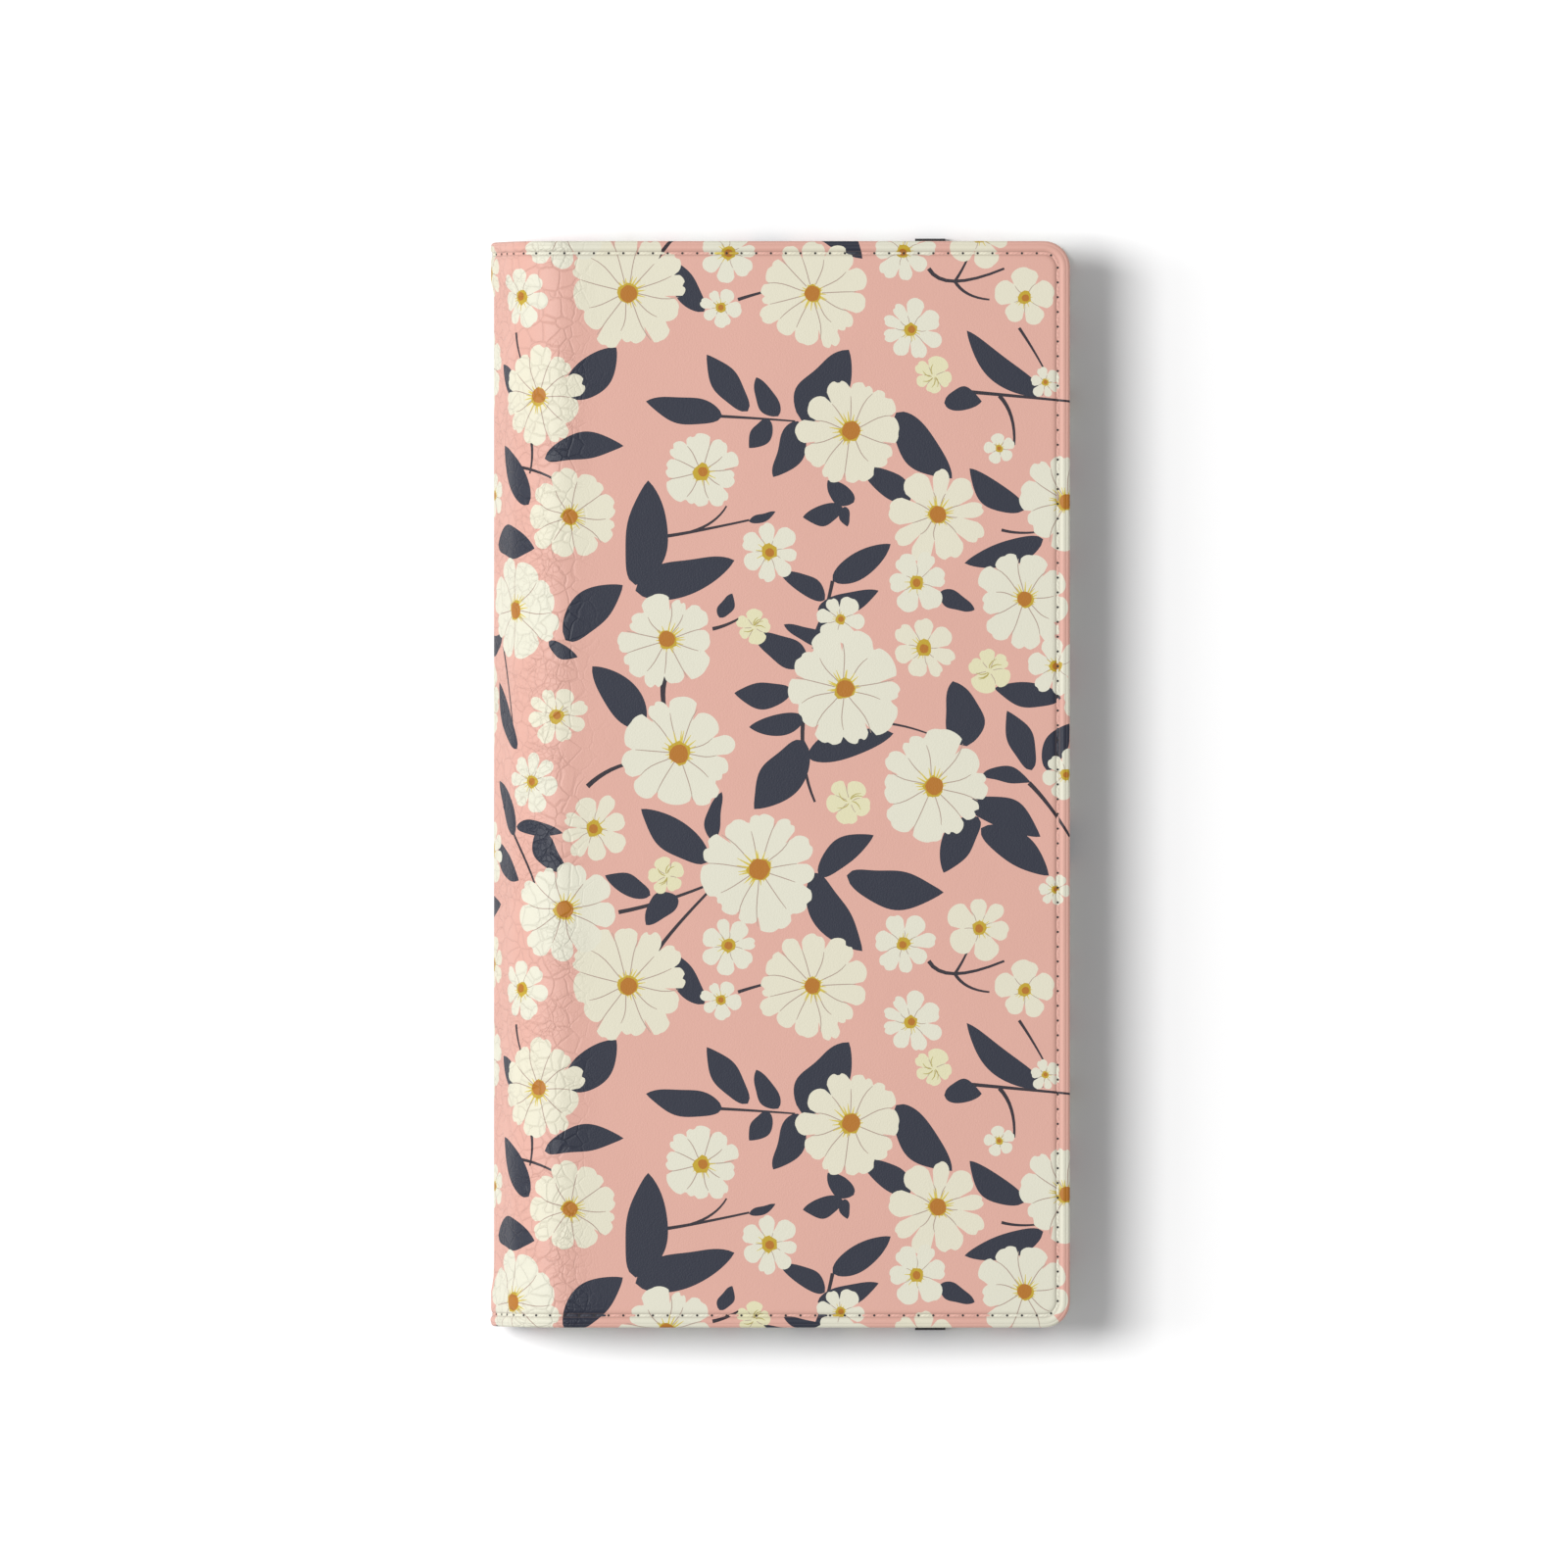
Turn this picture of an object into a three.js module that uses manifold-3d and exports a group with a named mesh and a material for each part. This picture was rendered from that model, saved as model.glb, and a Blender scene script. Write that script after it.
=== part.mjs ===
// Book-style phone case: a printed wrap over boards, a phone tray, card pockets and a closing band.
// Millimetres. The closed case lies on its back: +Z is up, the spine is at -X and the phone's top at +Y.
import * as THREE from "three";
import { mergeVertices } from "three/addons/utils/BufferGeometryUtils.js";
import Module from "manifold-3d";

const wasm = await Module();
wasm.setup();

// What the case holds
const phoneWidth = 71;
const phoneLength = 147;
const phoneThickness = 7.9;
const phoneCornerRadius = 9;
const phoneClearance = 0.2; // on every side of the phone
const cardWidth = 54;
const cardLength = 85.6;
const cardClearance = 2; // pocket width past the card, each side
const cardShowing = 13.6; // length of a card that stands out of its pocket

// Phone tray
const trayWall = 1.2;
const trayFloor = 1;
const lipThickness = 0.9;
const lipOverhang = 0.7;
const lipBevel = 0.5;
const cameraWindowWidth = 30;
const cameraWindowHeight = 20;
const cameraWindowRadius = 4;
const cameraFromPhoneTop = 17; // to the window's centre
const cameraStep = 0.6; // how much wider the window is in the cover than in the tray
const openingRadius = 1.2;
const sideOpeningHeight = 5;
const portOpeningWidth = 40;
const volumeOpeningLength = 26;
const powerOpeningLength = 15;
const buttonsFromPhoneTop = 42; // to the centre of both button openings

// Cover layers
const skinThickness = 0.6;
const coreThickness = 1;
const liningThickness = 0.4;
const adhesiveThickness = 0.3;
const adhesiveInset = 3;
const glueLine = 0.05;
const hemWidth = 3;
const boardFit = 0.3;
const liningInset = 0.4;
const endMargin = 2; // cover past the tray at its top and bottom ends
const foreMargin = 2.1; // cover past the tray at the fore-edge
const foreCornerRadius = 3.7;

// Spine
const upperBendRadius = 8.3;
const lowerBendRadius = 5;
const spineLean = THREE.MathUtils.degToRad(22); // the spine's flat run leans in by this towards its top
const hingeGap = 0.3;
const trayToSpine = 0.6; // from the tray's rim to the lining of the upper bend
const arcStep = THREE.MathUtils.degToRad(6);

// Pockets
const pocketThickness = 0.4;
const cardPocketCount = 3;
const pocketStep = 13;
const pocketInset = 3; // from the cover's edge to the pocket panels
const pocketMouthRadius = 2;
const closingGap = 0.6; // between the pockets and the tray

// Seams
const seamInset = 1.73;
const pocketSeamInset = 1.3;
const threadWidth = 0.5;
const threadThickness = 0.3;
const threadGap = 0.3;

// Closing band
const bandWidth = 4.3;
const bandThickness = 0.5;
const bandFromForeEdge = 19.7; // to the band's centre line
const bandSlack = 0.15; // between the cover's edge and the band's loop
const bandBend = 0.65;
const bandTab = 2.4; // length sewn in under the hem
const bandTabClearance = 0.3;

// Facets
const squareEdges = { bevelEnabled: false, curveSegments: 6 };
const trayCornerSegments = 8;
const lipBevelSegments = 2;

// Heights of the closed stack, from the table up
const coverThickness = skinThickness + glueLine + coreThickness + glueLine + liningThickness;
const hemThickness = skinThickness + glueLine + coreThickness;
const pocketCount = cardPocketCount + 1;
const pocketPitch = pocketThickness + glueLine;
const backZ = bandThickness + glueLine;
const backInnerZ = backZ + coverThickness;
const adhesiveZ = backInnerZ + glueLine;
const trayZ = adhesiveZ + adhesiveThickness + glueLine;
const cavityZ = trayZ + trayFloor;
const lipZ = cavityZ + phoneThickness + phoneClearance;
const trayTopZ = lipZ + lipThickness;
const frontInnerZ = trayTopZ + closingGap + pocketCount * pocketPitch;
const frontZ = frontInnerZ + coverThickness;

// Spine geometry. Distances named "FromSpine" run in +X from the outermost line of the spine.
const bendTurnUpper = Math.PI / 2 - spineLean;
const bendTurnLower = Math.PI / 2 + spineLean;
const upperDrop = upperBendRadius * (1 - Math.cos(bendTurnUpper));
const lowerRise = lowerBendRadius * (1 - Math.cos(bendTurnLower));
const spineRun = (frontZ - backZ - upperDrop - lowerRise) / Math.cos(spineLean);
const lowerCentreFromSpine = lowerBendRadius;
const upperCentreFromSpine = lowerBendRadius * (1 - Math.cos(spineLean))
  + spineRun * Math.sin(spineLean) + upperBendRadius * Math.cos(spineLean);

// Room that the tray's rim needs beside the upper bend's lining, or beyond the lower bend
const liningRadius = upperBendRadius - coverThickness;
const rimAboveCentre = Math.max(trayTopZ - (frontZ - upperBendRadius), 0);
const liningReach = Math.sqrt(liningRadius ** 2 - rimAboveCentre ** 2);
const spineRoom = Math.max(upperCentreFromSpine - liningReach, lowerCentreFromSpine) + trayToSpine;

// Overall plan
const cavityWidth = phoneWidth + 2 * phoneClearance;
const cavityLength = phoneLength + 2 * phoneClearance;
const cavityRadius = phoneCornerRadius + phoneClearance;
const trayWidth = cavityWidth + 2 * trayWall;
const trayLength = cavityLength + 2 * trayWall;
const caseWidth = spineRoom + trayWidth + foreMargin;
const caseLength = trayLength + 2 * endMargin;
const spineX = -caseWidth / 2;
const foreX = caseWidth / 2;
const endY = caseLength / 2;
const trayX = foreX - foreMargin - trayWidth / 2;
const upperCentre = { x: spineX + upperCentreFromSpine, z: frontZ - upperBendRadius };
const lowerCentre = { x: spineX + lowerCentreFromSpine, z: backZ + lowerBendRadius };

const up = Math.PI / 2;
const runAngle = up + bendTurnUpper; // direction that the spine's flat run faces
const down = 1.5 * Math.PI;
const upperSplit = up + bendTurnUpper / 2;
const lowerSplit = down - bendTurnLower / 2;

// ---- shape helpers ----

function solidOf(geometry) {
  const bare = geometry.clone();
  bare.deleteAttribute("normal");
  bare.deleteAttribute("uv");
  const merged = mergeVertices(bare, 1e-5);
  return new wasm.Manifold(new wasm.Mesh({
    numProp: 3,
    vertProperties: new Float32Array(merged.attributes.position.array),
    triVerts: new Uint32Array(merged.index.array),
  }));
}

function geometryOf(solid) {
  const mesh = solid.getMesh();
  const geometry = new THREE.BufferGeometry();
  geometry.setAttribute("position", new THREE.BufferAttribute(mesh.vertProperties, 3));
  geometry.setIndex(new THREE.BufferAttribute(mesh.triVerts, 1));
  geometry.computeVertexNormals();
  return geometry;
}

function join(solids) {
  return solids.reduce((sum, solid) => sum.add(solid));
}

function cutAll(solid, cutters) {
  return cutters.reduce((left, cutter) => left.subtract(cutter), solid);
}

function box(x0, x1, y0, y1, z0, z1) {
  const geometry = new THREE.BoxGeometry(x1 - x0, y1 - y0, z1 - z0);
  geometry.translate((x0 + x1) / 2, (y0 + y1) / 2, (z0 + z1) / 2);
  return solidOf(geometry);
}

// A flat shape in the XY plane, thickened from z0 to z1
function plate(shape, z0, z1) {
  const geometry = new THREE.ExtrudeGeometry(shape, { depth: z1 - z0, ...squareEdges });
  geometry.translate(0, 0, z0);
  return solidOf(geometry);
}

// A shape drawn with (x, z) as its coordinates, thickened from y0 to y1
function profile(shape, y0, y1) {
  const geometry = new THREE.ExtrudeGeometry(shape, { depth: y1 - y0, ...squareEdges });
  geometry.rotateX(Math.PI / 2);
  geometry.translate(0, y1, 0);
  return solidOf(geometry);
}

// A shape drawn with (y, z) as its coordinates, thickened from x0 to x1
function sideProfile(shape, x0, x1) {
  const geometry = new THREE.ExtrudeGeometry(shape, { depth: x1 - x0, ...squareEdges });
  geometry.rotateX(Math.PI / 2);
  geometry.rotateZ(Math.PI / 2);
  geometry.translate(x0, 0, 0);
  return solidOf(geometry);
}

// A rectangle whose corners have the radii [lower left, lower right, upper right, upper left]
function roundedShape(x0, x1, y0, y1, radii) {
  const [lowerLeft, lowerRight, upperRight, upperLeft] = radii;
  const shape = new THREE.Shape();
  shape.moveTo(x0 + lowerLeft, y0);
  shape.lineTo(x1 - lowerRight, y0);
  if (lowerRight > 0) shape.absarc(x1 - lowerRight, y0 + lowerRight, lowerRight, -Math.PI / 2, 0);
  shape.lineTo(x1, y1 - upperRight);
  if (upperRight > 0) shape.absarc(x1 - upperRight, y1 - upperRight, upperRight, 0, Math.PI / 2);
  shape.lineTo(x0 + upperLeft, y1);
  if (upperLeft > 0) shape.absarc(x0 + upperLeft, y1 - upperLeft, upperLeft, Math.PI / 2, Math.PI);
  shape.lineTo(x0, y0 + lowerLeft);
  if (lowerLeft > 0) shape.absarc(x0 + lowerLeft, y0 + lowerLeft, lowerLeft, Math.PI, 1.5 * Math.PI);
  return shape;
}

function centredShape(x, y, width, height, radius) {
  const radii = [radius, radius, radius, radius];
  return roundedShape(x - width / 2, x + width / 2, y - height / 2, y + height / 2, radii);
}

// ---- the wrap's outer line in the XZ plane, as points with their outward directions ----

function bendPoints(centre, radius, from, to) {
  const count = Math.max(1, Math.ceil((to - from) / arcStep));
  const points = [];
  for (let i = 0; i <= count; i += 1) {
    const angle = from + ((to - from) * i) / count;
    points.push({ x: centre.x + radius * Math.cos(angle), z: centre.z + radius * Math.sin(angle), angle });
  }
  return points;
}

const upperHalfGap = hingeGap / 2 / upperBendRadius;
const lowerHalfGap = hingeGap / 2 / lowerBendRadius;
const frontLine = [
  { x: foreX, z: frontZ, angle: up },
  ...bendPoints(upperCentre, upperBendRadius, up, upperSplit - upperHalfGap),
];
const spineLine = [
  ...bendPoints(upperCentre, upperBendRadius, upperSplit + upperHalfGap, runAngle),
  ...bendPoints(lowerCentre, lowerBendRadius, runAngle, lowerSplit - lowerHalfGap),
];
const backLine = [
  ...bendPoints(lowerCentre, lowerBendRadius, lowerSplit + lowerHalfGap, down),
  { x: foreX, z: backZ, angle: down },
];

// The band of material between two depths under the outer line
function layerShape(line, outerDepth, innerDepth) {
  const at = (point, depth) => new THREE.Vector2(
    point.x - depth * Math.cos(point.angle),
    point.z - depth * Math.sin(point.angle),
  );
  const outer = line.map((point) => at(point, outerDepth));
  const inner = line.map((point) => at(point, innerDepth)).reverse();
  return new THREE.Shape([...outer, ...inner]);
}

function layer(line, outerDepth, innerDepth, y0, y1) {
  return profile(layerShape(line, outerDepth, innerDepth), y0, y1);
}

// The same line, run straight on past its first and last points, so that a cut leaves clean ends
function prolonged(line, by) {
  const shifted = (point, along) => ({
    ...point,
    x: point.x - along * Math.sin(point.angle),
    z: point.z + along * Math.cos(point.angle),
  });
  return [shifted(line[0], -by), ...line, shifted(line[line.length - 1], by)];
}

// The plan of a cover, set in from its three free edges
function coverPlan(inset) {
  const radius = Math.max(foreCornerRadius - inset, 0);
  return roundedShape(spineX - bandBend, foreX - inset, inset - endY, endY - inset, [0, radius, radius, 0]);
}

function withinPlan(solid, inset) {
  return solid.intersect(plate(coverPlan(inset), -hemWidth, frontZ + hemWidth));
}

// ---- seams: a ribbon round the three free edges of a cover, or across the spine ----

function seamRing(inset, width, fromX, z0, z1) {
  const outside = plate(coverPlan(inset - width / 2), z0, z1);
  const ring = outside.subtract(plate(coverPlan(inset + width / 2), z0, z1));
  return ring.intersect(box(fromX, foreX, -endY, endY, z0, z1));
}

function seamRows(line, width, outerDepth, innerDepth) {
  return [-1, 1].map((side) => {
    const y = side * (endY - seamInset);
    return layer(line, outerDepth, innerDepth, y - width / 2, y + width / 2);
  });
}

// Cover seams lie on the flat part first, and then follow the bend to the hinge
function coverSeam(line, width, outerDepth, innerDepth) {
  const isFront = line[0].angle === up;
  const flatZ = isFront ? frontZ : backZ;
  const inward = isFront ? -1 : 1;
  const z = [flatZ + inward * outerDepth, flatZ + inward * innerDepth].sort((a, b) => a - b);
  const bend = line.filter((point) => point.x < foreX);
  const flatStart = isFront ? upperCentre.x : lowerCentre.x;
  const overlap = { x: flatStart + hemWidth, z: flatZ, angle: isFront ? up : down };
  const tail = isFront ? [overlap, ...bend] : [...bend, overlap];
  const ring = seamRing(seamInset, width, flatStart, z[0], z[1]);
  return join([ring, ...seamRows(tail, width, outerDepth, innerDepth)]);
}

const channelWidth = threadWidth + 2 * threadGap;
const channelDepth = threadThickness + threadGap;
const channelMouth = -glueLine;
const bobbinDepth = coverThickness + glueLine;

// ---- materials ----

const finishes = {
  printedLeather: { color: 0xe1b1a3, roughness: 0.55, metalness: 0 },
  board: { color: 0x9a948a, roughness: 0.95, metalness: 0 },
  padding: { color: 0xd9d6cf, roughness: 0.95, metalness: 0 },
  lining: { color: 0x1d1c1e, roughness: 0.85, metalness: 0 },
  pocket: { color: 0x201f21, roughness: 0.7, metalness: 0 },
  tray: { color: 0x161617, roughness: 0.45, metalness: 0 },
  adhesive: { color: 0xc9c3b4, roughness: 0.6, metalness: 0 },
  thread: { color: 0xd9c8bd, roughness: 0.8, metalness: 0 },
  darkThread: { color: 0x262427, roughness: 0.8, metalness: 0 },
  elastic: { color: 0x151516, roughness: 0.9, metalness: 0 },
};

function piece(name, solid, finish) {
  const mesh = new THREE.Mesh(geometryOf(solid), new THREE.MeshStandardMaterial(finishes[finish]));
  mesh.name = name;
  return mesh;
}

// ---- camera window, cut through the tray's floor and the whole back cover ----

const cameraY = phoneLength / 2 - cameraFromPhoneTop;

function cameraWindow(growth) {
  const width = cameraWindowWidth + 2 * growth;
  const height = cameraWindowHeight + 2 * growth;
  const shape = centredShape(trayX, cameraY, width, height, cameraWindowRadius + growth);
  return plate(shape, -bandThickness, lipZ);
}

// ---- covers: skin, core and lining ----

function coverSkin(line, otherCuts) {
  const shell = withinPlan(layer(line, 0, hemThickness, -endY, endY), 0);
  const cutLine = prolonged(line, threadGap);
  const coreLine = cutLine.map((point) => (point.x < foreX ? point : { ...point, x: foreX - hemWidth }));
  const core = layer(coreLine, skinThickness, hemThickness + glueLine, hemWidth - endY, endY - hemWidth);
  return cutAll(shell, [core, coverSeam(cutLine, channelWidth, channelMouth, channelDepth), ...otherCuts]);
}

function coverLining(line) {
  return withinPlan(layer(line, hemThickness + glueLine, coverThickness, -endY, endY), liningInset);
}

function board(fromX, z0) {
  const inset = hemWidth + boardFit;
  const shape = roundedShape(fromX + boardFit, foreX - inset, inset - endY, endY - inset, [0, 0, 0, 0]);
  return plate(shape, z0, z0 + coreThickness);
}

// Recesses in the back hem where the two ends of the closing band are sewn in
const bandX = foreX - bandFromForeEdge;
const bandTabTop = backZ + hemThickness - glueLine;
const tabRecesses = [-1, 1].map((side) => {
  const half = bandWidth / 2 + bandTabClearance;
  const y = [side * (endY - bandTab - bandTabClearance), side * (endY + bandSlack)].sort((a, b) => a - b);
  const z0 = bandTabTop - bandThickness - glueLine;
  return box(bandX - half, bandX + half, y[0], y[1], z0, backZ + coverThickness - liningThickness);
});

// ---- closing band: along the back, round both ends and into the hem ----

function closingBand() {
  const loopY = endY + bandSlack + bandThickness;
  const tabY = endY - bandTab;
  const outer = bandBend;
  const inner = bandBend - bandThickness;
  const shape = new THREE.Shape();
  shape.moveTo(-loopY + outer, 0);
  shape.lineTo(loopY - outer, 0);
  shape.absarc(loopY - outer, outer, outer, -Math.PI / 2, 0);
  shape.lineTo(loopY, bandTabTop - outer);
  shape.absarc(loopY - outer, bandTabTop - outer, outer, 0, Math.PI / 2);
  shape.lineTo(tabY, bandTabTop);
  shape.lineTo(tabY, bandTabTop - bandThickness);
  shape.lineTo(loopY - outer, bandTabTop - bandThickness);
  shape.absarc(loopY - outer, bandTabTop - outer, inner, Math.PI / 2, 0, true);
  shape.lineTo(loopY - bandThickness, outer);
  shape.absarc(loopY - outer, outer, inner, 0, -Math.PI / 2, true);
  shape.lineTo(-loopY + outer, bandThickness);
  shape.absarc(-loopY + outer, outer, inner, -Math.PI / 2, -Math.PI, true);
  shape.lineTo(-loopY + bandThickness, bandTabTop - outer);
  shape.absarc(-loopY + outer, bandTabTop - outer, inner, Math.PI, Math.PI / 2, true);
  shape.lineTo(-tabY, bandTabTop - bandThickness);
  shape.lineTo(-tabY, bandTabTop);
  shape.lineTo(-loopY + outer, bandTabTop);
  shape.absarc(-loopY + outer, bandTabTop - outer, outer, Math.PI / 2, Math.PI);
  shape.lineTo(-loopY, outer);
  shape.absarc(-loopY + outer, outer, outer, Math.PI, 1.5 * Math.PI);
  return sideProfile(shape, bandX - bandWidth / 2, bandX + bandWidth / 2);
}

// ---- phone tray ----

function trayShape(inset) {
  const radius = cavityRadius + trayWall - inset;
  return centredShape(trayX, 0, trayWidth - 2 * inset, trayLength - 2 * inset, radius);
}

function phoneTray() {
  const sized = {
    depth: trayTopZ - trayZ - lipBevel,
    bevelEnabled: true,
    bevelSegments: lipBevelSegments,
    bevelThickness: lipBevel,
    bevelSize: lipBevel,
    bevelOffset: -lipBevel,
    curveSegments: trayCornerSegments,
  };
  const body = new THREE.ExtrudeGeometry(trayShape(0), sized);
  body.translate(0, 0, trayZ);
  const shell = solidOf(body).intersect(plate(trayShape(-trayWall), trayZ, trayTopZ));
  const cavity = plate(trayShape(trayWall), cavityZ, lipZ);
  const mouth = plate(trayShape(trayWall + lipOverhang), lipZ - glueLine, trayTopZ + lipThickness);
  const openingZ = (cavityZ + lipZ) / 2;
  const buttonsY = phoneLength / 2 - buttonsFromPhoneTop;
  const portShape = centredShape(trayX, openingZ, portOpeningWidth, sideOpeningHeight, openingRadius);
  const volumeShape = centredShape(buttonsY, openingZ, volumeOpeningLength, sideOpeningHeight, openingRadius);
  const powerShape = centredShape(buttonsY, openingZ, powerOpeningLength, sideOpeningHeight, openingRadius);
  const cutDepth = trayWall + lipOverhang;
  return cutAll(shell, [
    cavity,
    mouth,
    cameraWindow(0),
    profile(portShape, -trayLength / 2 - cutDepth, -cavityLength / 2 + cutDepth),
    sideProfile(volumeShape, trayX - trayWidth / 2 - cutDepth, trayX - cavityWidth / 2 + cutDepth),
    sideProfile(powerShape, trayX + cavityWidth / 2 - cutDepth, trayX + trayWidth / 2 + cutDepth),
  ]);
}

// ---- pockets on the inside of the front cover ----

const pocketRight = foreX - pocketInset;
const pocketBottom = pocketInset - endY;
const cashLeft = upperCentre.x + boardFit;
const cardPocketWidth = cardWidth + 2 * (cardClearance + pocketSeamInset);
const cardLeft = pocketRight - cardPocketWidth;
const firstMouthY = pocketBottom + pocketSeamInset + cardLength - cardShowing;

// Underside of the panel at a level: 0 is the cash pocket, and the higher levels lie nearer the phone
function panelZ(level) {
  return frontInnerZ - (level + 1) * pocketPitch;
}

function mouthY(level) {
  return firstMouthY + (cardPocketCount - level) * pocketStep;
}

function pocketPanel(left, top, level) {
  const corners = [0, 0, pocketMouthRadius, pocketMouthRadius];
  const shape = roundedShape(left, pocketRight, pocketBottom, top, corners);
  return plate(shape, panelZ(level), panelZ(level) + pocketThickness);
}

function pocketThread(x0, x1, y0, y1, level) {
  const z1 = panelZ(level) - glueLine;
  return box(x0, x1, y0, y1, z1 - threadThickness, z1);
}

// A straight run of pocket stitching beside the left or right edge of a card pocket
function sideThread(side, y0, y1, level) {
  const x = side < 0 ? cardLeft + pocketSeamInset : pocketRight - pocketSeamInset;
  return pocketThread(x - threadWidth / 2, x + threadWidth / 2, y0, y1, level);
}

function endThread(left, y, level) {
  const right = pocketRight - pocketSeamInset + threadWidth / 2;
  return pocketThread(left, right, y - threadWidth / 2, y + threadWidth / 2, level);
}

// ---- assembly ----

const back = new THREE.Group();
const backWindow = cameraWindow(cameraStep);
back.add(piece("back_cover_skin", coverSkin(backLine, [...tabRecesses, backWindow]), "printedLeather"));
const backBoard = board(lowerCentre.x, backZ + skinThickness + glueLine).subtract(backWindow);
back.add(piece("back_board", backBoard, "board"));
back.add(piece("back_lining", coverLining(backLine).subtract(backWindow), "lining"));
back.add(piece(
  "tray_adhesive_sheet",
  plate(trayShape(adhesiveInset), adhesiveZ, adhesiveZ + adhesiveThickness).subtract(backWindow),
  "adhesive",
));
back.add(piece("phone_tray", phoneTray(), "tray"));
back.add(piece("closing_band", closingBand(), "elastic"));
back.add(piece("back_needle_thread", coverSeam(backLine, threadWidth, 0, threadThickness), "thread"));
back.add(piece(
  "back_bobbin_thread",
  coverSeam(backLine, threadWidth, bobbinDepth, bobbinDepth + threadThickness),
  "darkThread",
));

const spine = new THREE.Group();
const spineCutLine = prolonged(spineLine, threadGap);
const coreDepth = hemThickness + glueLine;
const spineCore = layer(spineCutLine, skinThickness, coreDepth, hemWidth - endY, endY - hemWidth);
const paddingEnd = endY - hemWidth - boardFit;
const paddingDepth = skinThickness + glueLine;
spine.add(piece(
  "spine_skin",
  cutAll(
    layer(spineLine, 0, hemThickness, -endY, endY),
    [spineCore, ...seamRows(spineCutLine, channelWidth, channelMouth, channelDepth)],
  ),
  "printedLeather",
));
spine.add(piece(
  "spine_padding",
  layer(spineLine, paddingDepth, paddingDepth + coreThickness, -paddingEnd, paddingEnd),
  "padding",
));
spine.add(piece(
  "spine_lining",
  withinPlan(layer(spineLine, hemThickness + glueLine, coverThickness, -endY, endY), liningInset),
  "lining",
));
const needleRows = seamRows(spineLine, threadWidth, 0, threadThickness);
const bobbinRows = seamRows(spineLine, threadWidth, bobbinDepth, bobbinDepth + threadThickness);
["bottom", "top"].forEach((end, i) => {
  spine.add(piece(`spine_needle_thread_${end}`, needleRows[i], "thread"));
  spine.add(piece(`spine_bobbin_thread_${end}`, bobbinRows[i], "darkThread"));
});

const front = new THREE.Group();
front.add(piece("front_cover_skin", coverSkin(frontLine, []), "printedLeather"));
const frontBoardZ = frontZ - skinThickness - glueLine - coreThickness;
front.add(piece("front_board", board(upperCentre.x, frontBoardZ), "board"));
front.add(piece("front_lining", coverLining(frontLine), "lining"));
front.add(piece("front_needle_thread", coverSeam(frontLine, threadWidth, 0, threadThickness), "thread"));
front.add(piece(
  "front_bobbin_thread",
  coverSeam(frontLine, threadWidth, bobbinDepth, bobbinDepth + threadThickness),
  "darkThread",
));

// The cash pocket is open along the spine. The card pockets lie on it, each a step lower than the last.
const cashTop = endY - pocketInset;
front.add(piece("cash_pocket_panel", pocketPanel(cashLeft, cashTop, 0), "pocket"));
front.add(piece("cash_pocket_thread", endThread(cashLeft, cashTop - pocketSeamInset, 0), "darkThread"));
for (let level = 1; level <= cardPocketCount; level += 1) {
  const top = mouthY(level);
  const name = `card_pocket_${level}`;
  front.add(piece(`${name}_panel`, pocketPanel(cardLeft, top, level), "pocket"));
  const isLowest = level === cardPocketCount;
  const runBottom = isLowest ? pocketBottom + pocketSeamInset : mouthY(level + 1) + glueLine;
  const runTop = top - pocketSeamInset;
  const runs = [-1, 1].map((side) => sideThread(side, runBottom, runTop, level));
  if (isLowest) {
    const bottomRun = endThread(cardLeft + pocketSeamInset - threadWidth / 2, runBottom, level);
    front.add(piece(`${name}_thread`, join([...runs, bottomRun]), "darkThread"));
  } else {
    front.add(piece(`${name}_thread_spine_side`, runs[0], "darkThread"));
    front.add(piece(`${name}_thread_fore_side`, runs[1], "darkThread"));
  }
}

const phoneCase = new THREE.Group();
phoneCase.add(back, spine, front);

export default phoneCase;
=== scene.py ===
import math
import random
import bpy
import numpy as np
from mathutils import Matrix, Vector
from mathutils.geometry import delaunay_2d_cdt


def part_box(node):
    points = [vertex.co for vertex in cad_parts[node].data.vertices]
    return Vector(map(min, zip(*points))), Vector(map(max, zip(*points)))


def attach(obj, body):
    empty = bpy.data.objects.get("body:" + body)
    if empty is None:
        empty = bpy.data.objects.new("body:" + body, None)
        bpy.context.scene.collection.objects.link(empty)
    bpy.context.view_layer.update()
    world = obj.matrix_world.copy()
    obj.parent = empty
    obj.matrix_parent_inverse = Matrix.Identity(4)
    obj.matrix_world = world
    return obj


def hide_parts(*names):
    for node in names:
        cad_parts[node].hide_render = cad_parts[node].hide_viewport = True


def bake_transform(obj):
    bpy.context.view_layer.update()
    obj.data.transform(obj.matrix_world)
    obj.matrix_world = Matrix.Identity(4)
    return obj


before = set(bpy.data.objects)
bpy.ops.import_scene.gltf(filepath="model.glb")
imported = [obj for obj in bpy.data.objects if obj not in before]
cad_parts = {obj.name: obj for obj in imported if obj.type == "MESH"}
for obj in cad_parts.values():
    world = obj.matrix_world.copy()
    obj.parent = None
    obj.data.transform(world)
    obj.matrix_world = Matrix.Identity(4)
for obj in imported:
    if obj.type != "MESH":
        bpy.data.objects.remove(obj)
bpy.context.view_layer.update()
mm = 0.001


def low(node):
    return [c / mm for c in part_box(node)[0]]


def high(node):
    return [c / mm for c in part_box(node)[1]]


# The closed case's cross-section, in mm: two bends joined by a straight run over the spine
fold = {
    "upperBend": 8.3,
    "lowerBend": 5.0,
    "lean": math.radians(22),
    "coverThickness": 2.1,
    "hemThickness": 1.65,
    "cornerRadius": 3.7,
    "seamInset": 1.73,
    "stitch": 2.1,
}
foreX = high("front_cover_skin")[0]
endY = high("front_cover_skin")[1]
frontZ = high("front_cover_skin")[2]
backZ = low("back_cover_skin")[2]
spineX = low("spine_skin")[0]


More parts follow.
